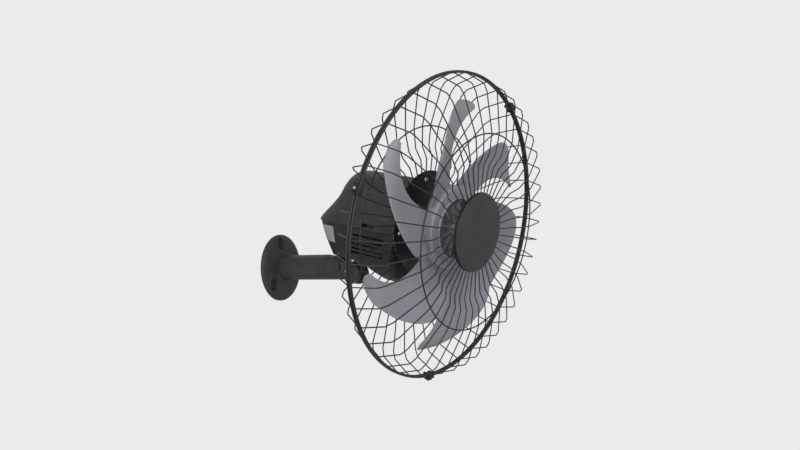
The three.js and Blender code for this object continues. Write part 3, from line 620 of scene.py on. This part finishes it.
def screw_mesh(matrix, head_radius, head_height, shank_radius, shank_length, sides):
    """A screw along Y: a domed head towards -Y with a round recess, and its shank."""
    bm = bmesh.new()
    outline = [(head_radius * r, -head_height * h) for r, h in HEAD_OUTLINE]
    spin_profile(bm, outline, HEAD_SIDES, closed=False)
    bmesh.ops.transform(bm, matrix=matrix @ around_y(HEAD_TURN), verts=bm.verts)
    rod(bm, shank_radius, 0, shank_length, sides, matrix)
    return bm


# ---- guards ----

# Each guard: side of the rim plane, recess height, middle ring and outer corner as
# (radius, height), and the inner and outer radius of its centre disc.
FRONT_GUARD = (-1, 0.063, (0.190, 0.073), (0.2815, 0.0472), 0.020, 0.0775)
REAR_GUARD = (1, 0.058, (0.1915, 0.0685), (0.2785, 0.0474), 0.030, 0.104)
RECESS_RADIUS = 0.130  # where the wires begin to rise from the recess
STEP_RADIUS = 0.152  # where they reach the middle ring's height
RIM_CLEARANCE = 0.0003  # from a rim's wire to the plane where the two rims meet
DISC_LAP = 0.004  # how far the wires reach over the centre disc
DISC_HALF = 0.0016  # half the centre disc's thickness
WIRE_SIDES, RIM_SIDES = 8, 12
RIM_STEPS, RING_STEPS, DISC_STEPS = 176, 132, 96


def guard_mesh(side, recess, middle, corner, disc_inner, disc_outer):
    """Radial wires, rim, middle ring and centre disc of one guard."""
    g = setting("guard")
    ring_radius, ring_height = middle
    corner_radius, corner_height = corner
    rim_height = g.rim_wire + RIM_CLEARANCE
    wire = [
        (disc_outer - DISC_LAP, recess),
        (RECESS_RADIUS, recess),
        (STEP_RADIUS, ring_height),
        (ring_radius + 0.002, ring_height),
        (corner_radius - 0.014, corner_height + 0.0055),
        (corner_radius, corner_height - 0.003),
        (g.rim_radius - 0.001, rim_height),
    ]
    bm = bmesh.new()
    path = rounded_path([(r, side * h, 0) for r, h in wire], g.bend)
    sweep(bm, path, g.wire, WIRE_SIDES)
    bmesh.ops.transform(bm, matrix=around_y(g.wire_phase), verts=bm.verts)
    copies_around(bm, g.wire_count)
    hoop(bm, g.rim_radius, side * rim_height, g.rim_wire, RIM_STEPS, RIM_SIDES)
    under_wires = ring_height - g.wire - g.ring_wire * 0.8
    hoop(bm, ring_radius, side * under_wires, g.ring_wire, RING_STEPS, WIRE_SIDES)
    high, low = side * recess + DISC_HALF, side * recess - DISC_HALF
    disc = [(disc_inner, low), (disc_outer, low), (disc_outer, high), (disc_inner, high)]
    spin_profile(bm, rounded_profile(disc, 0.0009), DISC_STEPS)
    return bm


class WALLFAN_OT_guards(Operator):
    """Make the front and rear wire guards"""

    bl_idname = "wallfan.guards"
    bl_label = "Wire Guards"

    def execute(self, context):
        for name, sizes in (("front_guard", FRONT_GUARD), ("rear_guard", REAR_GUARD)):
            make_piece(guard_mesh(*sizes), name + "_wires", "head", "guard_wire", name)
        return {"FINISHED"}


CLIP_AT = (7.5, 21, 33.5)  # in wire steps; a whole number sits on a wire
# A clip's boxes by two corners, and the places of its ears and round bosses.
CLIP_BODY = ((-0.009, -0.0085, -0.0045), (0.009, 0.0085, 0.0058))
CLIP_SEAT = ((-0.0055, -0.006, 0.004), (0.0055, 0.006, 0.0095))
EAR_X, EAR_HALF = 0.0082, 0.001
EAR_Y, EAR_Z = 0.0075, (-0.0065, 0.0058)
BOSS_RADIUS, BOSS_HALF = 0.0034, 0.001
BOSS_X, BOSS_Z = 0.0075, 0.0052
SCREW_SEAT = 0.0097  # height of the screw's head over the rim


def clip_frame(step):
    """Frame on the rim whose +Z points outwards and whose X runs along the rim."""
    g = setting("guard")
    angle = g.wire_phase + FULL_TURN * step / g.wire_count
    outwards = head_frame() @ around_y(angle - QUARTER_TURN)
    return outwards @ Matrix.Translation((0, 0, g.rim_radius))


def clip_mesh():
    """A clip's body with its screw seat, and an ear and a round boss on each side."""
    bm = bmesh.new()
    block(bm, *CLIP_BODY)
    soften(bm, 0.0018, 3)
    seat = bmesh.new()
    block(seat, *CLIP_SEAT)
    soften(seat, 0.0014)
    spare = bpy.data.meshes.new("spare")
    seat.to_mesh(spare)
    seat.free()
    bm.from_mesh(spare)
    bpy.data.meshes.remove(spare)
    for side in (-1, 1):
        spot = Matrix.Translation((side * BOSS_X, 0, BOSS_Z))
        upright = spot @ Matrix.Rotation(QUARTER_TURN, 4, "X")
        rod(bm, BOSS_RADIUS, -BOSS_HALF, BOSS_HALF, 16, upright)
        x = side * EAR_X
        block(bm, (x - EAR_HALF, -EAR_Y, EAR_Z[0]), (x + EAR_HALF, EAR_Y, EAR_Z[1]))
    return bm


class WALLFAN_OT_guard_clips(Operator):
    """Make the clips that hold the two guards' rims together, with their screws"""

    bl_idname = "wallfan.guard_clips"
    bl_label = "Guard Clips"

    def execute(self, context):
        seat = Matrix.Translation((0, 0, SCREW_SEAT))
        upright = seat @ Matrix.Rotation(-QUARTER_TURN, 4, "X")
        for number, step in enumerate(CLIP_AT, 1):
            spot = clip_frame(step)
            piece = make_object(clip_mesh(), f"guard_clip_{number}_moulded", spot)
            dress(piece, "head", "black_nylon", f"guard_clip_{number}")
            bm = screw_mesh(upright, *CLIP_SCREW)
            screw = make_object(bm, f"clip_screw_{number}_head", spot)
            dress(screw, "head", "zinc_steel", f"clip_screw_{number}")
        return {"FINISHED"}


# ---- impeller and front cap ----

BLADE_GRID = (40, 20)  # cells along and across a blade
ROOT_SINK = 0.0015  # how far a blade's root reaches into the hub
TIP_EXTRA = 0.001  # how far the middle of a tip passes the tip radius
BLADE_CAMBER = 0.0192
BLADE_LOW, BLADE_HIGH = -0.004, 0.042  # the edges' heights ahead of the rim plane
# The leading edge is furthest round at one radius and falls back by a parabola.
LEAD_MOST = 23.3
LEAD_PEAK = 0.115
LEAD_SPAN = 0.136
# The trailing edge falls back from the root in a straight and a cubic share.
TRAIL_ROOT, TRAIL_STRAIGHT, TRAIL_CUBIC = 76, 31, 29.5
TRAIL_START = 0.009  # from the hub to where it begins to fall back
# The blade is highest a little outside its middle and drops to its tip and root.
CREST_OUT = 0.0105
TIP_DROP, TIP_POWER = 0.054, 2
ROOT_DROP, ROOT_POWER = 0.036, 1.4

RIB_COUNT = 12
RIB_HALF = 0.0012
SHAFT_BORE = 0.0063  # radius of the bore in hub and nut
HUB_BOSS = 0.016  # radius of the hub's boss


def blade_edges(radius):
    """Edge angles in degrees and edge heights in metres of a blade at a radius."""
    s = setting("impeller")
    root, tip = s.hub_radius, s.tip_radius
    lead = LEAD_MOST - LEAD_MOST * ((radius - LEAD_PEAK) / LEAD_SPAN) ** 2
    u = max(0, (radius - root - TRAIL_START) / (tip - root - TRAIL_START))
    trail = TRAIL_ROOT - TRAIL_STRAIGHT * u - TRAIL_CUBIC * u**3
    crest = (root + tip) / 2 + CREST_OUT
    if radius > crest:
        drop = TIP_DROP * ((radius - crest) / (tip - crest)) ** TIP_POWER
    else:
        drop = ROOT_DROP * ((crest - radius) / (crest - root)) ** ROOT_POWER
    return lead, trail, BLADE_LOW, BLADE_HIGH - drop


def blade_mesh():
    """One blade: a grid bent to its edges and given a thickness."""
    s = setting("impeller")
    along, across = BLADE_GRID
    root = s.hub_radius - ROOT_SINK
    bm = bmesh.new()
    bmesh.ops.create_grid(bm, x_segments=along, y_segments=across, size=0.5)
    for v in bm.verts:
        t = v.co.y + 0.5
        fall = s.tip_round * (1.6 - 1.1 * t) * abs(2 * t - 1) ** 2.4
        radius = root + (s.tip_radius + TIP_EXTRA - fall - root) * (v.co.x + 0.5)
        lead, trail, low, high = blade_edges(radius)
        height = low + (high - low) * t - BLADE_CAMBER * t * (1 - t)
        angle = s.blade_angle + math.radians(lead + (trail - lead) * t)
        v.co = (radius * math.cos(angle), -height, radius * math.sin(angle))
    bmesh.ops.recalc_face_normals(bm, faces=bm.faces)
    bmesh.ops.solidify(bm, geom=bm.faces[:], thickness=s.thickness)
    soften(bm, s.thickness * 0.32, angle=math.radians(50))
    return bm


def hub_profile():
    """The hub's section: outer wall, lip, web and boss."""
    s = setting("impeller")
    outer, inner, lip = s.hub_radius, s.hub_radius - 0.003, s.lip_radius
    front, ahead, web = -s.hub_front, -s.lip_front, -s.hub_web
    back = web + 0.004
    return [
        (SHAFT_BORE, 0.022), (HUB_BOSS, 0.022), (HUB_BOSS, back), (lip - 0.003, back),
        (lip - 0.0015, front + 0.003), (inner, front + 0.003), (inner, 0.008),
        (outer - 0.001, 0.008), (outer, 0.0065), (outer, front + 0.003),
        (outer - 0.003, front), (lip + 0.0028, front), (lip + 0.0016, ahead),
        (lip - 0.0008, ahead), (lip - 0.004, web), (HUB_BOSS, web),
        (HUB_BOSS, -0.026), (SHAFT_BORE, -0.026),
    ]


class WALLFAN_OT_impeller(Operator):
    """Make the bladed impeller and the nut that holds it on the shaft"""

    bl_idname = "wallfan.impeller"
    bl_label = "Impeller"

    def execute(self, context):
        s = setting("impeller")
        bm = blade_mesh()
        copies_around(bm, s.blade_count)
        spin_profile(bm, rounded_profile(hub_profile(), 0.0006), 144)
        inner = (0.015, -0.0150, -RIB_HALF)
        outer = (s.lip_radius - 0.002, 0.001 - s.hub_web, RIB_HALF)
        for i in range(RIB_COUNT):
            block(bm, inner, outer, around_y(FULL_TURN * i / RIB_COUNT))
        make_piece(bm, "impeller_moulding", "rotor", "impeller_plastic", "impeller")
        self.nut()
        return {"FINISHED"}

    @staticmethod
    def nut():
        """The fluted nut in front of the hub."""
        bm = bmesh.new()
        grip = [(SHAFT_BORE, -0.0263), (0.013, -0.0263), (0.015, -0.030)]
        grip += [(0.015, -0.041), (0.012, -0.045), (SHAFT_BORE, -0.045)]
        spin_profile(bm, rounded_profile(grip, 0.001), 48)
        nut = make_object(bm, "impeller_nut_grip", head_frame())
        flutes = bmesh.new()
        for i in range(8):
            spot = around_y(FULL_TURN * i / 8) @ Matrix.Translation((0.016, 0, 0))
            rod(flutes, 0.0022, -0.06, -0.02, 16, spot)
        carve(nut, [make_object(flutes, "flutes", head_frame())])
        dress(nut, "rotor", "black_nylon", "impeller_nut")


class WALLFAN_OT_front_cap(Operator):
    """Make the plain domed cap in the middle of the front guard"""

    bl_idname = "wallfan.front_cap"
    bl_label = "Front Cap"

    def execute(self, context):
        radius = setting("impeller").cap_radius
        back, face, rise, steps = 0.0649, 0.0687, 0.0035, 12
        points = [(0, -back), (radius - 0.0004, -back), (radius, -back - 0.0006)]
        points += [(radius, -face + 0.0006), (radius - 0.0007, -face - 0.0002)]
        points += [(radius - 0.0035, -face - 0.0006)]
        for i in range(steps + 1):
            r = (radius - 0.0045) * (1 - i / steps)
            points.append((r, -(face + 0.0008 + rise * (1 - (r / radius) ** 2))))
        bm = bmesh.new()
        spin_profile(bm, points, 128, closed=False)
        make_piece(bm, "front_cap_disc", "head", "cap_plastic", "front_cap")
        return {"FINISHED"}


# ---- mounting plate ----

PLATE_FRONT, PLATE_BACK = 0.0599, 0.0647
PLATE_RINGS = (0.052, 0.066, 0.080)  # radii of the raised rings
RING_RISE = 0.0012
PLATE_SCREWS_AT = (20, 110, 200, 290)
PLATE_SCREW_CIRCLE = 0.088
PLATE_SCREW_Y = 0.0561


class WALLFAN_OT_mount_plate(Operator):
    """Make the round plate behind the impeller, with its four screws"""

    bl_idname = "wallfan.mount_plate"
    bl_label = "Mounting Plate"

    def execute(self, context):
        radius, front = setting("casing").plate_radius, PLATE_FRONT
        top = front - RING_RISE
        plate = [(0.009, front - 0.003), (0.034, front - 0.003), (0.036, front)]
        for r in PLATE_RINGS:
            plate += [(r - 0.002, front), (r - 0.001, top), (r + 0.001, top)]
            plate += [(r + 0.002, front)]
        plate += [(radius - 0.003, front), (radius, front + 0.002)]
        plate += [(radius, PLATE_BACK), (0.009, PLATE_BACK)]
        bm = bmesh.new()
        spin_profile(bm, rounded_profile(plate, 0.0008), 96)
        make_piece(bm, "mount_plate_disc", "head", "plate_paint", "mount_plate")
        for number, degrees in enumerate(PLATE_SCREWS_AT, 1):
            spot = spot_at(PLATE_SCREW_CIRCLE, math.radians(degrees), PLATE_SCREW_Y)
            bm, name = screw_mesh(spot, *PLATE_SCREW), f"plate_screw_{number}"
            make_piece(bm, name + "_head", "head", "zinc_steel", name)
        return {"FINISHED"}


# ---- casing ----

# Casing levels: height, half width, front offset, back and tail length, in metres.
HOOD_LEVELS = (
    (-0.037, 0.088, 0, 0.315, 0.126), (-0.024, 0.088, 0, 0.306, 0.119),
    (0.000, 0.087, 0, 0.283, 0.099), (0.020, 0.084, 0, 0.267, 0.084),
    (0.045, 0.076, 0, 0.258, 0.074), (0.062, 0.066, 0, 0.248, 0.060),
    (0.074, 0.052, 0, 0.237, 0.046), (0.081, 0.034, 0.003, 0.224, 0.034),
    (0.083, 0.020, 0.008, 0.212, 0.024),
)
LOWER_LEVELS = (
    (-0.0373, 0.086, 0, 0.312, 0.124), (-0.075, 0.083, 0, 0.283, 0.102),
    (-0.096, 0.072, 0, 0.269, 0.090), (-0.104, 0.062, 0.002, 0.266, 0.085),
)
BELLY_LEVELS = (
    (-0.098, 0.064, 0.001, 0.182, 0.040), (-0.108, 0.058, 0.002, 0.172, 0.040),
    (-0.120, 0.044, 0.006, 0.148, 0.034), (-0.129, 0.026, 0.012, 0.122, 0.018),
)
HOOD_STEPS, LOWER_STEPS = 4, 5  # levels in between
TAIL_STEPS, SIDE_STEPS, CORNER_STEPS = 32, 8, 6
CORNER_RADIUS = 0.009
LEAST_SIDE = 0.014  # the least that the tail leaves of a level's straight sides

# Slots in the casing's sides, by their spans in X, Y and Z.
HOOD_SLOT = ((0.0855, 0.0905), (0.118, 0.150), (-0.033, -0.026))
VENT_X, VENT_Y, TOP_VENT = (0.070, 0.100), (0.088, 0.176), -0.054
VENT_COUNT, VENT_PITCH, VENT_HEIGHT = 5, 0.0085, 0.0035
COLLAR_HOLE, COLLAR_Z = 0.023, -0.104  # where the neck's collar enters from below
LABEL_THICKNESS = 0.0004
GLAND_AT = (0, 0.205, -0.072)


def level_outline(level):
    """A level of the casing: elliptic tail, straight sides, rounded front corners."""
    z, half, offset, back, tail = level
    front = setting("casing").front + offset
    tail = min(tail, back - front - LEAST_SIDE)
    corner = min(CORNER_RADIUS, half * 0.6)
    points = []
    for i in range(TAIL_STEPS + 1):
        a = math.pi * i / TAIL_STEPS
        points.append((half * math.cos(a), back - tail + tail * math.sin(a), z))
    start, end = back - tail, front + corner
    for i in range(1, SIDE_STEPS):
        points.append((-half, start + (end - start) * i / SIDE_STEPS, z))
    for middle, first in ((-half + corner, 180), (half - corner, 270)):
        for i in range(CORNER_STEPS + 1):
            a = math.radians(first + 90 * i / CORNER_STEPS)
            x, y = middle + corner * math.cos(a), end + corner * math.sin(a)
            points.append((x, y, z))
    for i in range(1, SIDE_STEPS):
        points.append((half, end + (start - end) * i / SIDE_STEPS, z))
    return points


def smooth_levels(levels, steps):
    """Levels in between, on a curve through the given ones."""
    out = []
    for i in range(len(levels) - 1):
        p1, p2 = Vector(levels[i]), Vector(levels[i + 1])
        p0 = Vector(levels[i - 1]) if i else p1 * 2 - p2
        p3 = Vector(levels[i + 2]) if i + 2 < len(levels) else p2 * 2 - p1
        for step in range(steps):
            t = step / steps
            bent = p1 * 2 + (p2 - p0) * t + (p0 * 2 - p1 * 5 + p2 * 4 - p3) * t**2
            bent += (p1 * 3 - p0 - p2 * 3 + p3) * t**3
            out.append(tuple(bent / 2))
    return [*out, levels[-1]]


def casing_shell(name, levels, steps):
    """Rings at smoothed levels, bridged, with the last one filled, as an object."""
    bm = bmesh.new()
    rings = []
    for level in smooth_levels(levels, steps):
        outline = level_outline(level)
        ring = bmesh.ops.create_circle(bm, segments=len(outline), radius=1)["verts"]
        for v, point in zip(ring, outline):
            v.co = point
        rings.append(list({e for v in ring for e in v.link_edges}))
    for lower, upper in zip(rings, rings[1:]):
        bmesh.ops.bridge_loops(bm, edges=lower + upper)
    bmesh.ops.edgeloop_fill(bm, edges=rings[-1])
    return make_object(bm, name, head_frame())


def flank_point(height, angle, out):
    """A point outside the lower housing's tail, at a height and a turn round it."""
    levels = smooth_levels(LOWER_LEVELS, LOWER_STEPS)
    for above, below in zip(levels, levels[1:]):
        if below[0] <= height:
            break
    t = (above[0] - height) / (above[0] - below[0])
    _, half, _, back, tail = Vector(above).lerp(Vector(below), t)
    x, y = half * math.cos(angle), back - tail + tail * math.sin(angle)
    outwards = Vector((math.cos(angle) / half, math.sin(angle) / tail, 0)).normalized()
    return Vector((x, y, height)) + outwards * out


def slot_cutter(*slots):
    """The slots in the casing's two sides, from their spans in X, Y and Z."""
    bm = bmesh.new()
    for (near, far), (front, back), (bottom, top) in slots:
        block(bm, (-far, front, bottom), (-near, back, top))
        block(bm, (near, front, bottom), (far, back, top))
    return make_object(bm, "cutter", head_frame())


class WALLFAN_OT_hood(Operator):
    """Make the hood over motor and gearbox"""

    bl_idname = "wallfan.hood"
    bl_label = "Hood"

    def execute(self, context):
        piece = casing_shell("hood_shell", HOOD_LEVELS, HOOD_STEPS)
        carve(piece, [slot_cutter(HOOD_SLOT)], setting("casing").wall)
        dress(piece, "head", "hood_plastic", "hood")
        return {"FINISHED"}


class WALLFAN_OT_lower_housing(Operator):
    """Make the slotted lower housing with its belly, cable gland and label"""

    bl_idname = "wallfan.lower_housing"
    bl_label = "Lower Housing"

    def execute(self, context):
        wall = setting("casing").wall
        piece = casing_shell("lower_housing_shell", LOWER_LEVELS, LOWER_STEPS)
        heights = [TOP_VENT - i * VENT_PITCH for i in range(VENT_COUNT)]
        vents = slot_cutter(*[(VENT_X, VENT_Y, (z, z + VENT_HEIGHT)) for z in heights])
        collar = bmesh.new()
        spot = Matrix.Translation((0, setting("aim").rim_ahead, COLLAR_Z))
        upright = spot @ Matrix.Rotation(QUARTER_TURN, 4, "X")
        rod(collar, COLLAR_HOLE, -0.02, 0.02, 64, upright)
        carve(piece, [vents, make_object(collar, "cutter", head_frame())], wall)
        dress(piece, "head", "housing_plastic", "lower_housing")
        belly = casing_shell("motor_belly", BELLY_LEVELS, LOWER_STEPS)
        carve(belly, [], wall)
        dress(belly, "head", "housing_plastic")
        self.gland()
        self.label()
        return {"FINISHED"}

    @staticmethod
    def label():
        """A blank plate on the rear flank, bent to the housing's own surface."""
        s = setting("casing")
        bm = bmesh.new()
        bmesh.ops.create_grid(bm, x_segments=16, y_segments=10, size=0.5)
        for v in bm.verts:
            height = s.label_middle + s.label_height * v.co.y
            angle = s.label_turn + s.label_span * v.co.x
            v.co = flank_point(height, angle, LABEL_THICKNESS)
        bmesh.ops.recalc_face_normals(bm, faces=bm.faces)
        bmesh.ops.solidify(bm, geom=bm.faces[:], thickness=LABEL_THICKNESS)
        make_piece(bm, "blank_label", "head", "housing_plastic", look="blank_label")

    @staticmethod
    def gland():
        """The threaded body, hexagon and bore of the cable gland."""
        bm = bmesh.new()
        body = [(0.004, 0.068), (0.007, 0.068), (0.007, 0.0935)]
        body += [(0.0058, 0.096), (0.004, 0.096)]
        spin_profile(bm, body, 48)
        nut = [(0.0065, 0.0828), (0.0110, 0.0828), (0.0110, 0.089), (0.0065, 0.089)]
        spin_profile(bm, nut, 6)
        across = Matrix.Translation(GLAND_AT) @ Matrix.Rotation(-QUARTER_TURN, 4, "Z")
        bmesh.ops.transform(bm, matrix=across, verts=bm.verts)
        make_piece(bm, "cable_gland_body", "head", "black_nylon", "cable_gland")


# ---- flange, arm and neck ----

FLANGE_HOLES_AT = (105, 225, 345)
HOLE_RADIUS = 0.0034
SINK_FRONT, SINK_FLOOR = 0.0165, 0.0118  # radii of a sink's cutter at its two ends
CUT_START, SINK_END = -0.030, -0.0046  # where the cutters begin and a sink ends
TUBE_WALL = 0.0025
STOP_SCREW_AT = (-0.0262, -0.006, 0.0223)
# CAD nodes that are shown softened: node, body, slot and bevel width.
SOFTENED = (
    ("neck_block", "neck", "neck_paint", 0.0008),
    ("tilt_bolt", "base", "zinc_steel", 0.0004),
    ("tilt_nut", "base", "zinc_steel", 0.0005),
)


class WALLFAN_OT_wall_flange(Operator):
    """Make the dished wall flange with its three sunk screw holes"""

    bl_idname = "wallfan.wall_flange"
    bl_label = "Wall Flange"

    def execute(self, context):
        s = setting("arm")
        edge, tube = s.flange_radius, s.arm_radius
        dish = [
            (0, 0), (edge - 0.0006, 0), (edge, -0.0008), (edge, -0.0038),
            (edge - 0.0008, -0.0056), (edge - 0.0030, -0.0073), (edge - 0.0070, -0.0091),
            (edge - 0.0130, -0.0109), (0.050, -0.0124), (tube + 0.016, -0.0134),
            (tube + 0.010, -0.0144), (tube + 0.005, -0.0153), (tube + 0.0025, -0.0160),
            (tube + 0.0012, -0.0166), (tube + 0.0004, -0.0166), (tube + 0.0002, -0.0154),
            (0, -0.0154),
        ]
        bm = bmesh.new()
        spin_profile(bm, dish, 144, closed=False)
        piece = make_object(bm, "wall_flange_dish", IDENTITY)
        holes, sinks = bmesh.new(), bmesh.new()
        for degrees in FLANGE_HOLES_AT:
            spot = spot_at(s.hole_circle, math.radians(degrees))
            rod(holes, HOLE_RADIUS, CUT_START, 0.001, 32, spot)
            rod(sinks, SINK_FRONT, CUT_START, SINK_END, 64, spot, SINK_FLOOR)
        carve(piece, [make_object(cut, "cutter", IDENTITY) for cut in (holes, sinks)])
        dress(piece, "base", "arm_paint", "wall_flange")
        return {"FINISHED"}


class WALLFAN_OT_arm(Operator):
    """Make the arm tube, the forked knuckle, the neck block and their bolt"""

    bl_idname = "wallfan.arm"
    bl_label = "Arm And Knuckle"

    def execute(self, context):
        s = setting("arm")
        outer, inner = s.arm_radius, s.arm_radius - TUBE_WALL
        tube = [(inner, -s.arm_end), (outer, -s.arm_end)]
        tube += [(outer, -s.arm_start), (inner, -s.arm_start)]
        bm = bmesh.new()
        spin_profile(bm, rounded_profile(tube, 0.0002, 1), 96)
        make_piece(bm, "arm_tube_round", "base", "arm_paint", "arm_tube")
        sleeve_end = -s.arm_end - 0.002
        knuckle = refined_copy("arm_knuckle", "arm_knuckle_cast", 0.0012, sleeve_end)
        dress(knuckle, "base", "arm_paint", "arm_knuckle")
        for node, body, slot, width in SOFTENED:
            piece = refined_copy(node, node + "_soft", width)
            dress(piece, body, slot, node)
        self.stop_screw()
        return {"FINISHED"}

    @staticmethod
    def stop_screw():
        """The bright screw in the collar's side, its head out along -X."""
        spot = Matrix.Translation(STOP_SCREW_AT) @ Matrix.Rotation(-QUARTER_TURN, 4, "Z")
        bm = screw_mesh(spot, *STOP_SCREW)
        make_piece(bm, "stop_screw_head", "neck", "zinc_steel", "stop_screw")


class WALLFAN_OT_inner_finishes(Operator):
    """Give the frame's own nodes that stay in view their finishes"""

    bl_idname = "wallfan.inner_finishes"
    bl_label = "Inner Finishes"

    def execute(self, context):
        for part in frame["record"]["subparts"]:
            node = frame["nodes"][part["node"]]
            node.data.materials.clear()
            node.data.materials.append(finish(part["material_slot"]))
        return {"FINISHED"}


# ---- stage ----

# Place, side in metres and power in watts; each light faces the camera's target.
LIGHTS = {
    "key": ((-1.1, -2.4, 1.0), 2.0, 20),
    "fill": ((-2.4, -0.7, -0.2), 2.0, 27),
    "back": ((1.4, 1.2, 1.8), 1.2, 3),
}
FLOOR_RADIUS = 60
SENSOR_WIDTH = 36


def stage_object(name, data, spot, target):
    """A light or camera that stands at the spot and faces the target."""
    thing = bpy.data.objects.new(name, data)
    thing.location = spot
    aim = Vector(target) - Vector(spot)
    thing.rotation_euler = aim.to_track_quat("-Z", "Y").to_euler()
    bpy.context.scene.collection.objects.link(thing)
    return thing


def studio_world(surround):
    """A pale backdrop that throws less light on the fan than it shows."""
    world = bpy.data.worlds.new("studio")
    world.use_nodes = True
    nodes, links = world.node_tree.nodes, world.node_tree.links
    shown = nodes["Background"]
    shown.inputs["Color"].default_value = (*setting("colours").backdrop, 1)
    thrown = nodes.new("ShaderNodeBackground")
    thrown.inputs["Strength"].default_value = surround
    mix = nodes.new("ShaderNodeMixShader")
    path = nodes.new("ShaderNodeLightPath")
    links.new(path.outputs["Is Camera Ray"], mix.inputs["Fac"])
    links.new(thrown.outputs["Background"], mix.inputs[1])
    links.new(shown.outputs["Background"], mix.inputs[2])
    links.new(mix.outputs["Shader"], nodes["World Output"].inputs["Surface"])
    return world


class WALLFAN_OT_stage(Operator):
    """Make the floor, the lights, the surrounding light and the camera"""

    bl_idname = "wallfan.stage"
    bl_label = "Stage"

    def execute(self, context):
        s = setting("stage")
        scene = context.scene
        bm = bmesh.new()
        bmesh.ops.create_circle(bm, cap_ends=True, segments=96, radius=FLOOR_RADIUS)
        floor = make_object(bm, "floor", Matrix.Translation((0, 0, s.floor_height)))
        floor.data.materials.append(finish("pale_floor"))
        shader = FINISHES["pale_floor"].shader
        shader.inputs["Emission Color"].default_value = (*setting("colours").backdrop, 1)
        shader.inputs["Emission Strength"].default_value = s.floor_glow
        floor.visible_diffuse = False
        floor.visible_glossy = False
        scene.world = studio_world(s.surround)
        scene.view_settings.view_transform = "Standard"
        for name, (spot, size, energy) in LIGHTS.items():
            lamp = bpy.data.lights.new(name, "AREA")
            lamp.size = size
            lamp.energy = energy
            stage_object(name, lamp, spot, s.camera_target)
        data = bpy.data.cameras.new("camera")
        data.lens = s.lens
        data.sensor_width = SENSOR_WIDTH
        data.dof.use_dof = False
        scene.camera = stage_object("camera", data, s.camera_place, s.camera_target)
        return {"FINISHED"}


# ---- panel and registration ----

OPERATORS = (
    WALLFAN_OT_stage,
    WALLFAN_OT_inner_finishes,
    WALLFAN_OT_wall_flange,
    WALLFAN_OT_arm,
    WALLFAN_OT_hood,
    WALLFAN_OT_lower_housing,
    WALLFAN_OT_mount_plate,
    WALLFAN_OT_guards,
    WALLFAN_OT_guard_clips,
    WALLFAN_OT_impeller,
    WALLFAN_OT_front_cap,
)


class WALLFAN_PT_panel(Panel):
    """Lists the fan's pieces and their settings"""

    bl_idname = "WALLFAN_PT_panel"
    bl_label = "Wall Fan"
    bl_space_type = "VIEW_3D"
    bl_region_type = "UI"
    bl_category = "Wall Fan"

    def draw(self, context):
        column = self.layout.column()
        for operator in OPERATORS:
            column.operator(operator.bl_idname)
        for name, group in SETTINGS.items():
            box = self.layout.box()
            box.label(text=group.__doc__)
            for field in group.__annotations__:
                box.prop(getattr(context.scene, name), field)


CLASSES = (*SETTINGS.values(), *OPERATORS, WALLFAN_PT_panel)


def register():
    for item in CLASSES:
        bpy.utils.register_class(item)
    for name, group in SETTINGS.items():
        setattr(bpy.types.Scene, name, PointerProperty(type=group))


def unregister():
    for name in SETTINGS:
        delattr(bpy.types.Scene, name)
    for item in reversed(CLASSES):
        bpy.utils.unregister_class(item)


def main():
    register()
    for operator in OPERATORS:
        group, name = operator.bl_idname.split(".")
        getattr(getattr(bpy.ops, group), name)()


if __name__ == "__main__":
    main()
